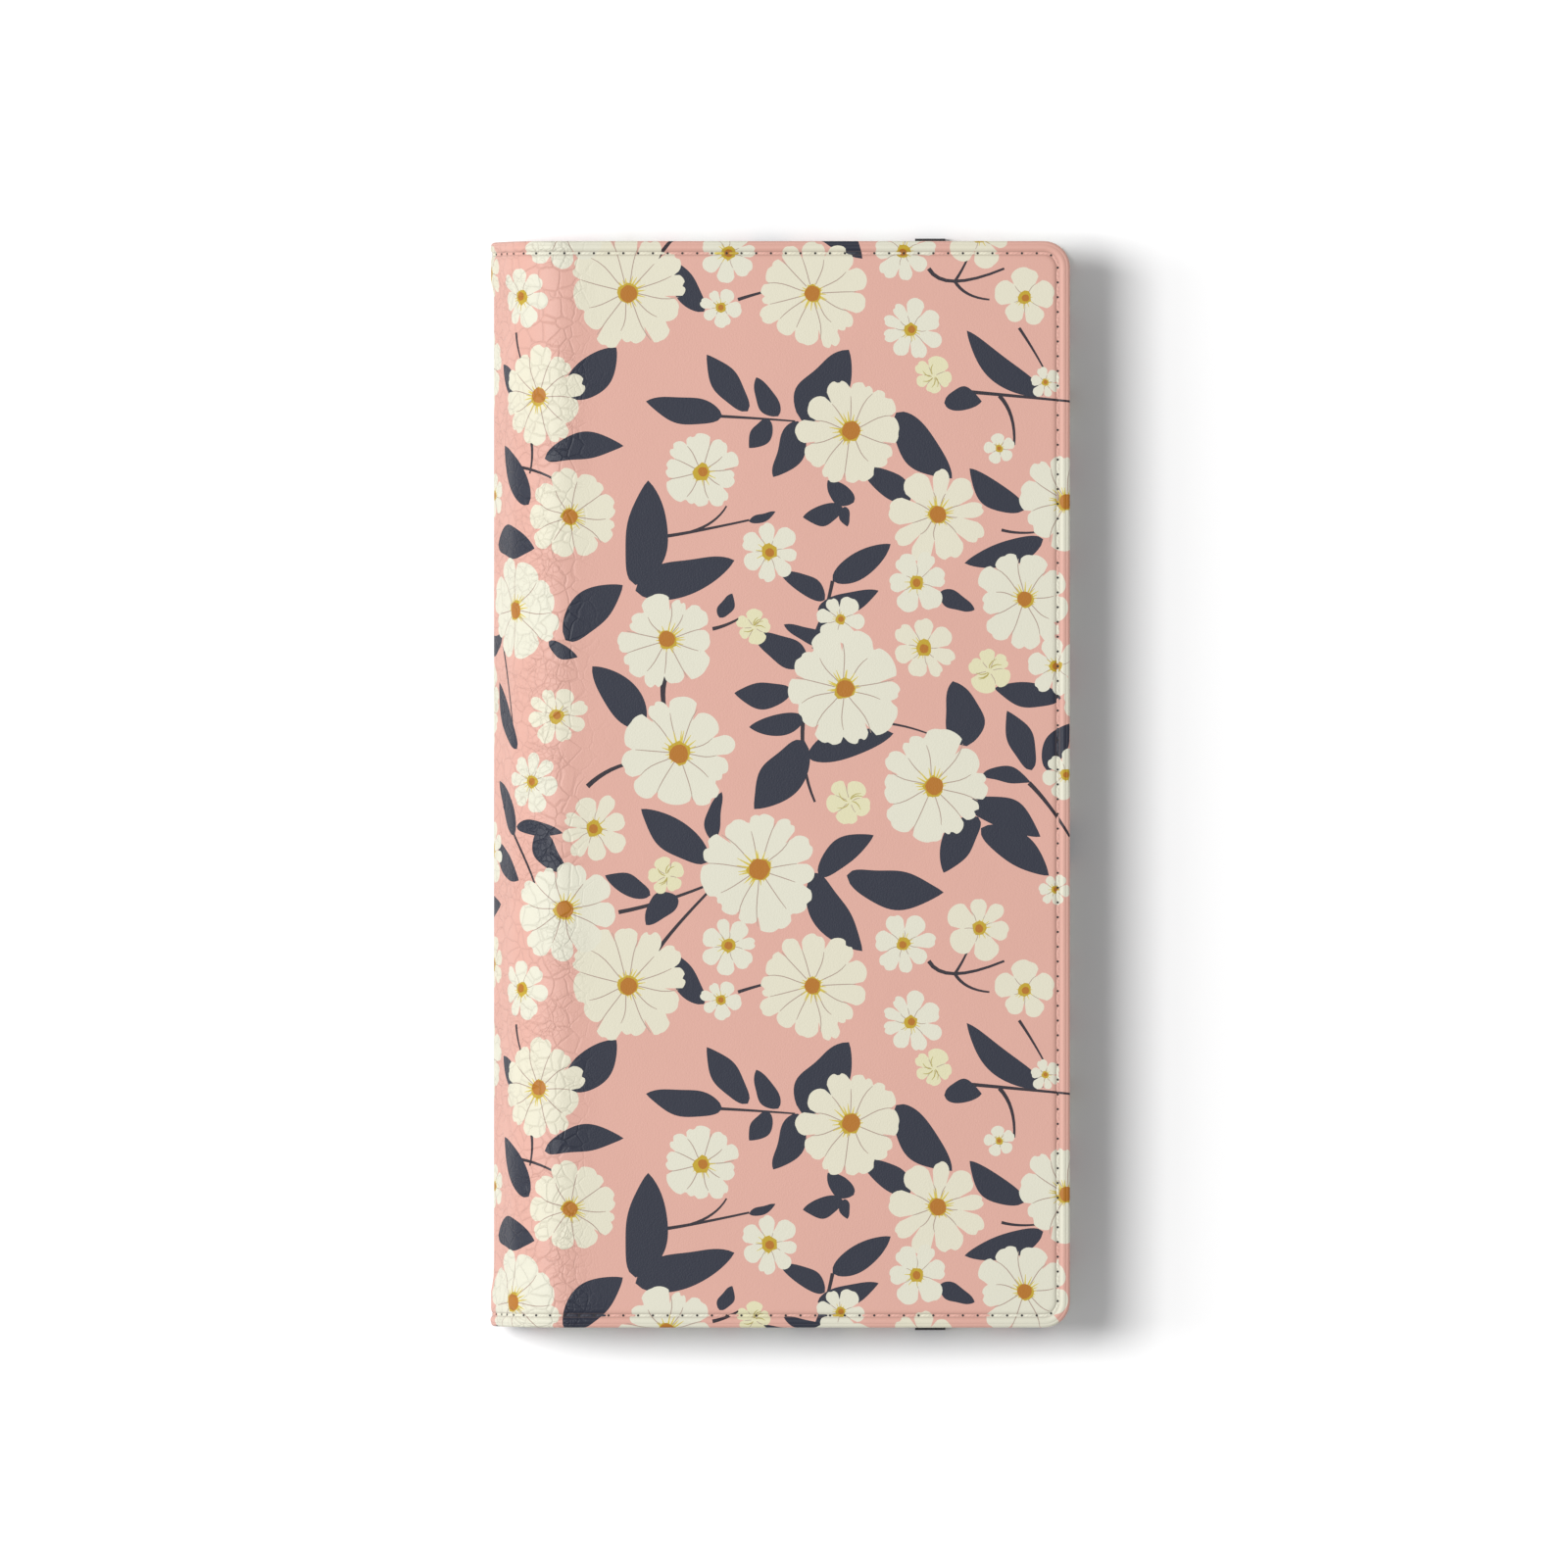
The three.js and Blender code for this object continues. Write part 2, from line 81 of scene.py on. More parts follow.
def wrapSides():
    up, lo, lean = fold["upperBend"], fold["lowerBend"], fold["lean"]
    upTurn, loTurn = math.pi / 2 - lean, math.pi / 2 + lean
    run = frontZ - backZ - up * (1 - math.cos(upTurn)) - lo * (1 - math.cos(loTurn))
    run /= math.cos(lean)
    upX = spineX + lo * (1 - math.cos(lean)) + run * math.sin(lean) + up * math.cos(lean)
    front = {"sign": 1, "z": frontZ, "radius": up, "turn": upTurn, "centreX": upX}
    back = {"sign": -1, "z": backZ, "radius": lo, "turn": loTurn, "centreX": spineX + lo}
    for side in (front, back):
        side["flat"] = foreX - side["centreX"]
        side["bend"] = side["radius"] * side["turn"]
        side["length"] = side["flat"] + side["bend"] + run / 2
    return front, back


frontSide, backSide = wrapSides()
printWidth = frontSide["length"] + backSide["length"]


def onProfile(side, a, depth):
    r, sign = side["radius"], side["sign"]
    turn = np.clip((a - side["flat"]) / r, 0, side["turn"])
    run = np.maximum(a - side["flat"] - side["bend"], 0)
    flat = np.maximum(side["flat"] - a, 0)
    nx, nz = -np.sin(turn), sign * np.cos(turn)
    x = side["centreX"] + flat + (r - depth) * nx - run * np.cos(turn)
    z = side["z"] - sign * r + (r - depth) * nz - sign * run * np.sin(turn)
    return x, z


def smooth(t):
    t = np.clip(t, 0, 1)
    return t * t * (3 - 2 * t)


def offEdge(a, y, radius, corner, inset):
    # how far a flat point lies past the line where the edge starts to roll, and the way outward
    ax, ay = corner + inset, endY - inset - corner
    da, dy = a - ax, np.abs(y) - ay
    inCorner = (da < 0) & (dy > 0)
    dist = np.hypot(da, dy)
    safe = np.maximum(dist, 1e-9)
    fore, end = inset + radius - a, np.abs(y) - (endY - inset - radius)
    alongFore = fore > end
    d = np.where(inCorner, dist - (corner - radius), np.where(alongFore, fore, end))
    na = np.where(inCorner, da / safe, np.where(alongFore, -1.0, 0.0))
    ny = np.where(inCorner, dy / safe, np.where(alongFore, 0.0, 1.0)) * np.sign(y)
    return d, na, ny


def rolled(d, radius, deep):
    # leather going over the edge: out and down by a quarter turn, down the wall, then under
    quarter = radius * math.pi / 2
    side = max(deep - 2 * radius, 0)
    t1 = np.clip(d / radius, 0, math.pi / 2)
    t2 = np.clip((d - quarter - side) / radius, 0, math.pi / 2)
    wall = np.clip(d - quarter, 0, side)
    under = np.maximum(d - 2 * quarter - side, 0)
    out = radius * np.sin(t1) - radius * (1 - np.cos(t2)) - under
    down = radius * (1 - np.cos(t1)) + wall + radius * np.sin(t2)
    return out, down


relief = {
    "groove": 0.24, "grooveWidth": 0.4,
    "welt": 0.1, "weltInset": 0.95, "weltWidth": 0.38,
    "crease": 0.04, "creaseInset": 0.5, "creaseWidth": 0.09,
    "flare": 0.45, "flareLength": 7.6, "flareRamp": 2.2,
    "rolledPast": 0.4,
    # the painted shade lines: their distance either side of the seam, their width, and their share at the
    # edge crease
    "shadeLineOffset": 0.26, "shadeLineWidth": 0.07, "edgeShadeLine": 0.2,
    "crackleReach": 4.5,
}


def seamDip(a, y):
    # the stitching pulls the leather down, and it bulges between the seam and the edge
    inset = -offEdge(a, y, 0.0, fold["cornerRadius"], 0.0)[0]
    groove = relief["groove"] * np.exp(-((inset - fold["seamInset"]) / relief["grooveWidth"]) ** 2)
    welt = relief["welt"] * np.exp(-((inset - relief["weltInset"]) / relief["weltWidth"]) ** 2)
    crease = relief["crease"] * np.exp(-((inset - relief["creaseInset"]) / relief["creaseWidth"]) ** 2)
    return groove + crease - welt


def endFlare(side, a, y):
    # the spine stands out a little at its two ends, where the layers aren't glued
    ends = smooth((np.abs(y) - (endY - relief["flareLength"])) / relief["flareRamp"])
    return relief["flare"] * ends * smooth((a - side["flat"]) / side["bend"])


def sheetPoint(side, sheet, a, y):
    d, na, ny = offEdge(a, y, sheet["edge"], fold["cornerRadius"], sheet["inset"])
    outside = np.maximum(d, 0)
    out, down = rolled(outside, sheet["edge"], sheet["deep"])
    a2 = a - na * outside + na * out
    y2 = y - ny * outside + ny * out
    dip = seamDip(a2, y2) * sheet["relief"] * (d < relief["rolledPast"]) - endFlare(side, a2, y2)
    depth = sheet["depth"] + sheet["facing"] * down + dip
    x, z = onProfile(side, a2, depth)
    return np.stack([x, y2, z], axis=-1)


def sheetNormal(side, sheet, a, y):
    step = 0.01
    da = sheetPoint(side, sheet, a + step, y) - sheetPoint(side, sheet, a - step, y)
    dy = sheetPoint(side, sheet, a, y + step) - sheetPoint(side, sheet, a, y - step)
    n = np.cross(dy, da) * side["sign"] * sheet["facing"]
    return n / np.maximum(np.linalg.norm(n, axis=-1, keepdims=True), 1e-12)


# The print's colours before any light falls on them, 0 to 255; the last one is no ink but painted shade, the
# dark inside of the needle holes
ink = {
    "ground": (203, 156.5, 143.5),
    "petal": (205, 203, 186),
    "petalWarm": (206, 202, 182),
    "vein": (160, 141, 128),
    "fringe": (193, 175, 70),
    "gold": (176, 148, 36),
    "heart": (164, 104, 26),
    "bud": (205, 201, 166),
    "scribble": (164, 152, 84),
    "leaf": (36, 40, 54),
    "stem": (42, 36, 44),
    "hole": (22, 20, 22),
}
# Flowers: distance from the fore-edge and height of the middle, radius, petals, kind
flowers = [
    (62.6, -28.4, 8.3, 12, "wide"), (36.4, -28.5, 8.2, 12, "wide"), (48.4, -22.8, 4.2, 7, "open"),
    (49.4, -30.5, 2.9, 6, "open"), (23.6, -22.6, 4.5, 7, "open"), (6.4, -29.1, 4.4, 5, "open"),
    (22.5, -33.7, 4.5, 8, "open"), (78.4, -29.0, 4.4, 7, "open"), (75.4, -43.1, 7.0, 10, "wide"),
    (31.1, -48.0, 7.5, 10, "wide"), (52.1, 44.2, 5.5, 9, "wide"), (18.8, 38.2, 7.0, 9, "open"),
    (70.8, 37.9, 6.6, 9, "wide"), (19.3, -40.2, 2.8, 5, "bud"), (3.5, -41.1, 2.3, 6, "open"),
    (10.0, 47.5, 2.4, 5, "open"), (0.6, 40.0, 6.9, 8, "wide"), (42.6, 32.9, 4.4, 7, "open"),
    (21.7, 28.6, 4.4, 6, "open"), (6.4, 26.2, 6.9, 9, "wide"), (79.9, 24.7, 7.6, 8, "wide"),
    (57.0, 20.4, 6.8, 10, "wide"), (20.7, 19.3, 4.7, 7, "open"), (32.5, 23.3, 3.4, 6, "open"),
    (44.7, 22.2, 2.6, 5, "bud"), (32.0, 13.5, 8.2, 10, "wide"), (11.4, 16.1, 3.2, 5, "bud"),
    (2.0, 16.7, 4.1, 6, "open"), (72.7, 9.7, 4.4, 8, "open"), (55.3, 4.4, 7.9, 10, "wide"),
    (19.4, -0.3, 7.9, 10, "wide"), (76.5, 0.4, 4.4, 7, "open"), (67.4, -6.3, 5.0, 8, "open"),
    (31.2, -2.4, 3.3, 5, "bud"), (44.0, -12.1, 8.6, 11, "wide"), (71.7, -17.8, 7.2, 9, "wide"),
    (57.0, -12.9, 2.8, 5, "bud"), (2.1, -14.9, 2.3, 6, "open"), (12.8, -20.4, 4.7, 6, "open"),
    (0.6, 1.4, 3.6, 6, "open"), (87.5, 41.0, 3.2, 6, "open"), (88.0, -25.5, 3.9, 6, "open"),
    (92.5, 11.5, 7.2, 9, "wide"), (88.6, -9.5, 4.6, 7, "open"), (91.0, -39.0, 6.6, 9, "wide"),
    (94.0, 29.5, 2.9, 5, "bud"),
]
# Leaves: tip, foot, width
leaves = [
    (57.1, -23.3, 51.8, -31.1, 3.6), (14.6, -33.8, 3.8, -42.9, 3.8), (12.5, -43.8, 17.8, -44.0, 3.4),
    (51.4, -37.2, 45.6, -45.2, 3.8), (60.0, -43.8, 49.2, -45.9, 4.0), (44.4, -40.4, 41.3, -45.9, 3.0),
    (31.3, -36.5, 38.0, -46.5, 6.6), (42.0, 43.5, 38.5, 51.4, 4.1), (45.4, 47.6, 42.6, 51.7, 3.0),
    (16.7, 43.3, 24.6, 52.6, 5.4), (64.2, -36.2, 71.0, -43.2, 5.4), (63.2, 47.9, 74.4, 46.1, 3.8),
    (84.0, -38.5, 79.5, -43.5, 3.2), (83.5, 48.0, 77.0, 39.6, 4.4), (59.7, 43.0, 61.5, 28.2, 6.2),
    (47.5, 31.7, 61.5, 27.4, 5.4), (41.7, 38.6, 45.4, 37.2, 1.3), (34.3, 43.0, 30.6, 39.9, 3.0),
    (37.8, 37.8, 32.2, 39.2, 3.0), (29.4, 44.7, 22.6, 40.2, 3.8), (31.5, 36.5, 31.9, 39.3, 1.6),
    (25.4, 34.0, 33.6, 28.8, 3.8), (41.0, 29.9, 34.7, 26.1, 2.9), (27.1, 27.4, 35.7, 24.7, 3.0),
    (13.5, 24.7, 18.4, 27.2, 2.6), (14.9, 31.3, 3.8, 34.7, 3.7), (14.2, 44.7, 6.5, 38.8, 3.8),
    (76.0, 33.4, 86.0, 34.0, 4.8), (63.3, 28.2, 71.4, 20.4, 5.4), (69.7, 18.0, 73.8, 20.2, 2.0),
    (44.7, 21.2, 37.2, 17.0, 4.2), (33.9, 25.3, 36.1, 19.2, 2.7), (40.5, 22.6, 33.9, 20.1, 2.3),
    (47.5, 12.9, 39.4, 13.2, 3.8), (45.4, 8.1, 37.6, 9.4, 3.2), (44.7, -3.5, 37.6, 6.2, 6.0),
    (25.0, 7.2, 37.2, 3.9, 4.2), (67.6, 16.7, 60.4, 8.0, 5.2), (47.8, 27.0, 49.6, 23.6, 2.1),
    (16.6, 14.6, 14.6, 5.4, 5.6), (10.7, 13.6, 1.3, 12.2, 3.6), (8.9, 10.4, 5.4, 2.0, 3.6),
    (0.0, 8.6, 3.3, 2.0, 3.4), (5.6, 0.3, 12.4, 1.4, 2.3), (4.2, -7.4, 14.6, -2.6, 4.4),
    (17.9, -12.5, 13.0, -4.6, 4.6), (3.0, -12.9, 12.6, -6.2, 4.6), (49.3, -1.1, 50.6, -8.0, 2.3),
    (60.7, -3.5, 51.2, -11.0, 4.8), (27.8, -7.2, 35.6, -13.0, 3.8), (17.9, -15.3, 31.6, -12.9, 5.4),
    (29.4, -23.6, 36.4, -12.5, 5.2), (65.8, -12.9, 59.4, -15.7, 3.0), (60.0, -19.9, 55.6, -15.8, 3.6),
    (85.6, 14.5, 79.4, 5.0, 3.4), (85.5, 0.5, 80.0, -7.2, 3.4), (71.8, -6.9, 79.5, -6.0, 2.2),
    (71.4, -12.5, 75.6, -6.6, 3.6), (79.0, -13.6, 85.8, -8.6, 3.6), (95.5, 0.5, 91.5, -6.0, 4.0),
    (85.0, -17.0, 91.5, -19.0, 3.0), (97.5, 22.5, 92.5, 20.0, 3.4), (84.5, 21.0, 89.5, 19.5, 3.0),
    (96.5, -30.5, 93.0, -33.5, 4.2), (97.0, 44.0, 92.0, 38.0, 4.6), (92.5, 49.5, 90.5, 43.0, 3.0),
]
# Stems: three points that the line passes through, width
stems = [
    ([(58.3, 35.0), (53.7, 35.7), (45.4, 37.4)], 0.5), ([(53.7, 35.7), (50.6, 37.2), (48.6, 39.4)], 0.4),
    ([(49.6, -45.9), (44.5, -46.2), (38.9, -46.6)], 0.4), ([(33.6, 28.8), (34.7, 24.3), (36.4, 19.2)], 0.5),
    ([(37.8, 9.0), (37.6, 2.8), (36.1, -2.5)], 0.55), ([(68.3, -0.3), (64.9, 2.1), (60.7, 3.3)], 0.65),
    ([(63.9, -18.1), (57.2, -16.4), (49.7, -13.6)], 0.55),
    ([(58.9, -24.3), (55.6, -20.0), (49.8, -13.8)], 0.55),
    ([(20.0, -25.0), (16.3, -26.8), (9.3, -25.0)], 0.55),
    ([(16.3, -26.8), (15.2, -25.0), (14.2, -22.9)], 0.4),
    ([(16.3, -26.8), (14.4, -28.6), (11.4, -29.4)], 0.45),
    ([(14.9, -42.4), (7.2, -43.1), (-1.0, -43.9)], 0.5),
    ([(10.0, -43.0), (8.3, -46.0), (7.9, -50.0)], 0.55), ([(7.2, -33.4), (5.4, -36.2), (3.8, -39.0)], 0.4),
    ([(76.6, 49.0), (76.4, 46.5), (76.8, 44.0)], 0.45), ([(80.5, 45.0), (76.0, 44.4), (72.0, 42.6)], 0.45),
    ([(26.9, 8.7), (23.4, 8.2), (19.6, 7.0)], 0.35), ([(47.0, -29.4), (44.4, -28.6), (42.0, -28.0)], 0.45),
    ([(56.7, 16.9), (57.6, 13.6), (57.2, 10.0)], 0.9), ([(5.8, 0.2), (3.0, -3.0), (0.0, -7.4)], 0.6),
    ([(84.0, -3.0), (79.0, -8.6), (76.0, -14.0)], 0.5), ([(84.0, 19.5), (81.4, 12.0), (80.0, 5.0)], 0.45),
    ([(79.6, -34.0), (79.2, -36.0), (78.4, -38.0)], 0.45),
    ([(50.6, 22.0), (48.6, 22.6), (46.6, 23.6)], 0.5), ([(9.7, 36.0), (7.0, 35.6), (4.0, 35.8)], 0.4),
    ([(91.0, -14.0), (92.2, -22.0), (91.4, -32.0)], 0.5),
    ([(90.5, 19.0), (91.5, 26.0), (89.0, 37.0)], 0.45),
]
repeat = 98.0
# How a flower is drawn: lengths in mm, the others as shares of the radius or of the heart
bloom = {
    "waist": {"wide": 0.78, "open": 0.5, "bud": 0.6},
    "lobePower": 0.36, "notchWidth": 0.08, "outlineSteps": 13, "veinSteps": 6, "large": 5.5,
    "veinWidth": 0.07, "smallVeinWidth": 0.05, "veinStart": 0.16, "heart": 0.16, "smallHeart": 0.18,
    "hairs": 20, "fewHairs": 12, "scribbles": 5,
}


def petalEdge(reach, waist, notch, lean, t):
    lobe = math.sin(math.pi * t) ** bloom["lobePower"]
    split = notch * math.exp(-((t - 0.5 - lean) / bloom["notchWidth"]) ** 2)
    return reach * (waist + (1 - waist) * lobe - split)


def flowerShapes(x, y, radius, petals, kind, rng):
    large = radius > bloom["large"]
    start = rng.uniform(0, 2 * math.pi)
    cuts = np.cumsum([rng.uniform(0.72, 1.28) for _ in range(petals)])
    cuts = cuts / cuts[-1] * 2 * math.pi + start
    waist = bloom["waist"][kind]
    outline, veins = [], []
    for i in range(petals):
        a0, a1 = cuts[i - 1] - (2 * math.pi if i == 0 else 0), cuts[i]
        reach = radius * rng.uniform(0.88, 1.06)
        notch = rng.uniform(0.0, 0.09)
        lean = rng.uniform(-0.16, 0.16)
        gap = waist * rng.uniform(0.8, 1.12)
        for k in range(bloom["outlineSteps"]):
            t = k / bloom["outlineSteps"]
            r = petalEdge(reach, gap, notch, lean, t)
            angle = a0 + (a1 - a0) * t
            outline.append((x + r * math.cos(angle), y + r * math.sin(angle)))
        veins.append((a1, reach * gap, rng.uniform(-0.2, 0.2)))
    body = "bud" if kind == "bud" else rng.choice(["petal", "petal", "petalWarm"])
    shapes = [(outline, body)]
    width = bloom["smallVeinWidth"] if radius < bloom["large"] else bloom["veinWidth"]
    near = radius * bloom["veinStart"]
    for angle, reach, swing in veins:
        line = []
        for k in range(bloom["veinSteps"]):
            t = k / (bloom["veinSteps"] - 1)
            r = near + (reach * 1.03 - near) * t
            turn = angle + swing * math.sin(math.pi * t) * 0.5
            line.append((x + r * math.cos(turn), y + r * math.sin(turn)))
        shapes.append((ribbon(line, [width, width, width, width, width * 0.9, width * 0.6]), "vein"))
    if kind == "bud":
        for _ in range(bloom["scribbles"]):
            angle = rng.uniform(0, 2 * math.pi)
            line = []
            for r in (0.1, 0.25, 0.42, 0.6):
                turn = angle + r * 1.4
                line.append((x + radius * r * math.cos(turn), y + radius * r * math.sin(turn)))
            shapes.append((ribbon(line, [0.05, 0.08, 0.07, 0.03]), "scribble"))
        return shapes
    heart = radius * bloom["heart" if large else "smallHeart"] * rng.uniform(0.88, 1.14)
    hairs = bloom["hairs" if large else "fewHairs"]
    swing = rng.uniform(0, 2 * math.pi)
    for i in range(hairs):
        angle = 2 * math.pi * i / hairs + rng.uniform(-0.15, 0.15)
        reach = heart * (1.45 + 0.55 * math.cos(angle - swing) + rng.uniform(0, 0.35))
        line = [(x + r * math.cos(angle), y + r * math.sin(angle)) for r in (heart * 0.7, reach)]
        shapes.append((ribbon(line, [heart * 0.13, 0.03]), "fringe"))
    ring, core = (1.1, 0.96) if large else (1.3, 0.72)
    shapes.append((blob(x, y, heart * ring, 12, 0.16, rng), "gold"))
    hx, hy = x + rng.uniform(-0.15, 0.15) * heart, y + rng.uniform(-0.15, 0.15) * heart
    shapes.append((blob(hx, hy, heart * core, 14, 0.07, rng), "heart"))
    return shapes


def blob(x, y, radius, points, rough, rng):
    shape = []
    for i in range(points):
        angle = 2 * math.pi * i / points
        r = radius * (1 + rng.uniform(-rough, rough))
        shape.append((x + r * math.cos(angle), y + r * math.sin(angle)))
    return shape


def ribbon(line, widths):
    left, right = [], []
    for i, (x, y) in enumerate(line):
        x0, y0 = line[max(i - 1, 0)]
        x1, y1 = line[min(i + 1, len(line) - 1)]
        length = math.hypot(x1 - x0, y1 - y0) or 1
        nx, ny = -(y1 - y0) / length, (x1 - x0) / length
        left.append((x + nx * widths[i], y + ny * widths[i]))
        right.append((x - nx * widths[i], y - ny * widths[i]))
    return left + right[::-1]


def leafShape(tipX, tipY, baseX, baseY, width, rng):
    # round near the stem and drawn out to a point, with one edge a little wavier than the other
    steps = 22
    bow = rng.uniform(-0.1, 0.1)
    waves = (rng.uniform(-0.16, 0.16), rng.uniform(-0.16, 0.16))
    length = math.hypot(tipX - baseX, tipY - baseY)
    nx, ny = -(tipY - baseY) / length, (tipX - baseX) / length
    sides = ([], [])
    for i in range(steps + 1):
        t = i / steps
        off = bow * length * math.sin(math.pi * t)
        full = 2.6 * t ** 0.62 * (1 - t) ** 0.82
        for side, way, wave in zip(sides, (1, -1), waves):
            half = max(width / 2 * full * (1 + wave * math.sin(2.4 * math.pi * t)), 0.02)
            x = baseX + (tipX - baseX) * t + nx * (off + way * half)
            y = baseY + (tipY - baseY) * t + ny * (off + way * half)
            side.append((x, y))
    return sides[0] + sides[1][::-1]


def stemShape(points, width):
    line = []
    (x0, y0), (x1, y1), (x2, y2) = points
    for i in range(9):
        t = i / 8
        p, q, r = (1 - t) * (1 - 2 * t), 4 * t * (1 - t), t * (2 * t - 1)
        line.append((p * x0 + q * x1 + r * x2, p * y0 + q * y1 + r * y2))
    return ribbon(line, [width / 2 * (1.1 - 0.5 * i / 8) for i in range(9)])


def printTile():
    rng = random.Random(7)
    tile = [(stemShape(*s), "stem") for s in stems]
    tile += [(leafShape(*leaf, rng), "leaf") for leaf in leaves]
    order = sorted(flowers, key=lambda f: -f[2] if f[4] == "wide" else -1)
    for flower in order:
        tile += flowerShapes(*flower, rng)
    return tile


def printShapes(box):
    # the tile laid side by side over the cut sheet, in the order in which it was drawn
    shapes = []
    tile = printTile()
    spots = [(i * repeat, j * repeat) for i in range(-1, 3) for j in range(-1, 2)]
    for outline, colour in tile:
        for dx, dy in spots:
            xs = [x + dx for x, _ in outline]
            ys = [y + dy for _, y in outline]
            if max(xs) > box[0] and min(xs) < box[1] and max(ys) > box[2] and min(ys) < box[3]:
                shapes.append((list(zip(xs, ys)), colour))
    return shapes


def inside(outline, x, y):
    hit = False
    for i, (x1, y1) in enumerate(outline):
        x0, y0 = outline[i - 1]
        if (y0 > y) != (y1 > y) and x < (x1 - x0) * (y - y0) / (y1 - y0) + x0:
            hit = not hit
    return hit


def inkAt(shapes, x, y):
    colour = "ground"
    for outline, name in shapes:
        if inside(outline, x, y):
            colour = name
    return colour


def linear(colour):
    return [c / 12.92 if c <= 0.04045 else ((c + 0.055) / 1.055) ** 2.4 for c in (v / 255 for v in colour)]


cameraWindow = {"width": 31.2, "height": 21.2, "corner": 4.6, "trayWall": 1.4, "fromPhoneEnd": 17.0}
# How a flat cut is divided, and where its faces lie in the bake layout
cutting = {
    "leastRadius": 0.05, "beforeBend": 0.4, "rungReach": 3, "rungInset": 3, "uvScale": 0.1,
    "border": 0.005, "outerWide": 0.97, "outerHigh": 0.99,
    "hiddenStart": 0.982, "hiddenWide": 0.012, "innerShift": 0.004,
}


def roundLoop(inset, corner, farEdge, cornerSteps=10):
    # a line round the three free edges at a distance from them, open at the spine
    radius = max(corner - inset, cutting["leastRadius"])
    ca, cy = inset + radius, endY - inset - radius
    points = [(farEdge, cy + radius)]
    for i in range(cornerSteps + 1):
        t = math.pi / 2 * i / cornerSteps
        points.append((ca - radius * math.sin(t), cy + radius * math.cos(t)))
    return points + [(a, -y) for a, y in reversed(points)]


def windowLoop():
    # the camera window, as a round-cornered loop in the sheet's own coordinates
    trayX = (low("phone_tray")[0] + high("phone_tray")[0]) / 2
    windowY = high("phone_tray")[1] - cameraWindow["trayWall"] - cameraWindow["fromPhoneEnd"]
    radius = cameraWindow["corner"]
    halfX, halfY = cameraWindow["width"] / 2 - radius, cameraWindow["height"] / 2 - radius
    cx0, cx1, cy0, cy1 = trayX - halfX, trayX + halfX, windowY - halfY, windowY + halfY
    loop = []
    for cx, cy, start in ((cx1, cy1, 0), (cx0, cy1, 1), (cx0, cy0, 2), (cx1, cy0, 3)):
        for i in range(9):
            t = math.pi / 2 * (start + i / 8)
            loop.append((foreX - cx - radius * math.cos(t), cy + radius * math.sin(t)))
    return loop


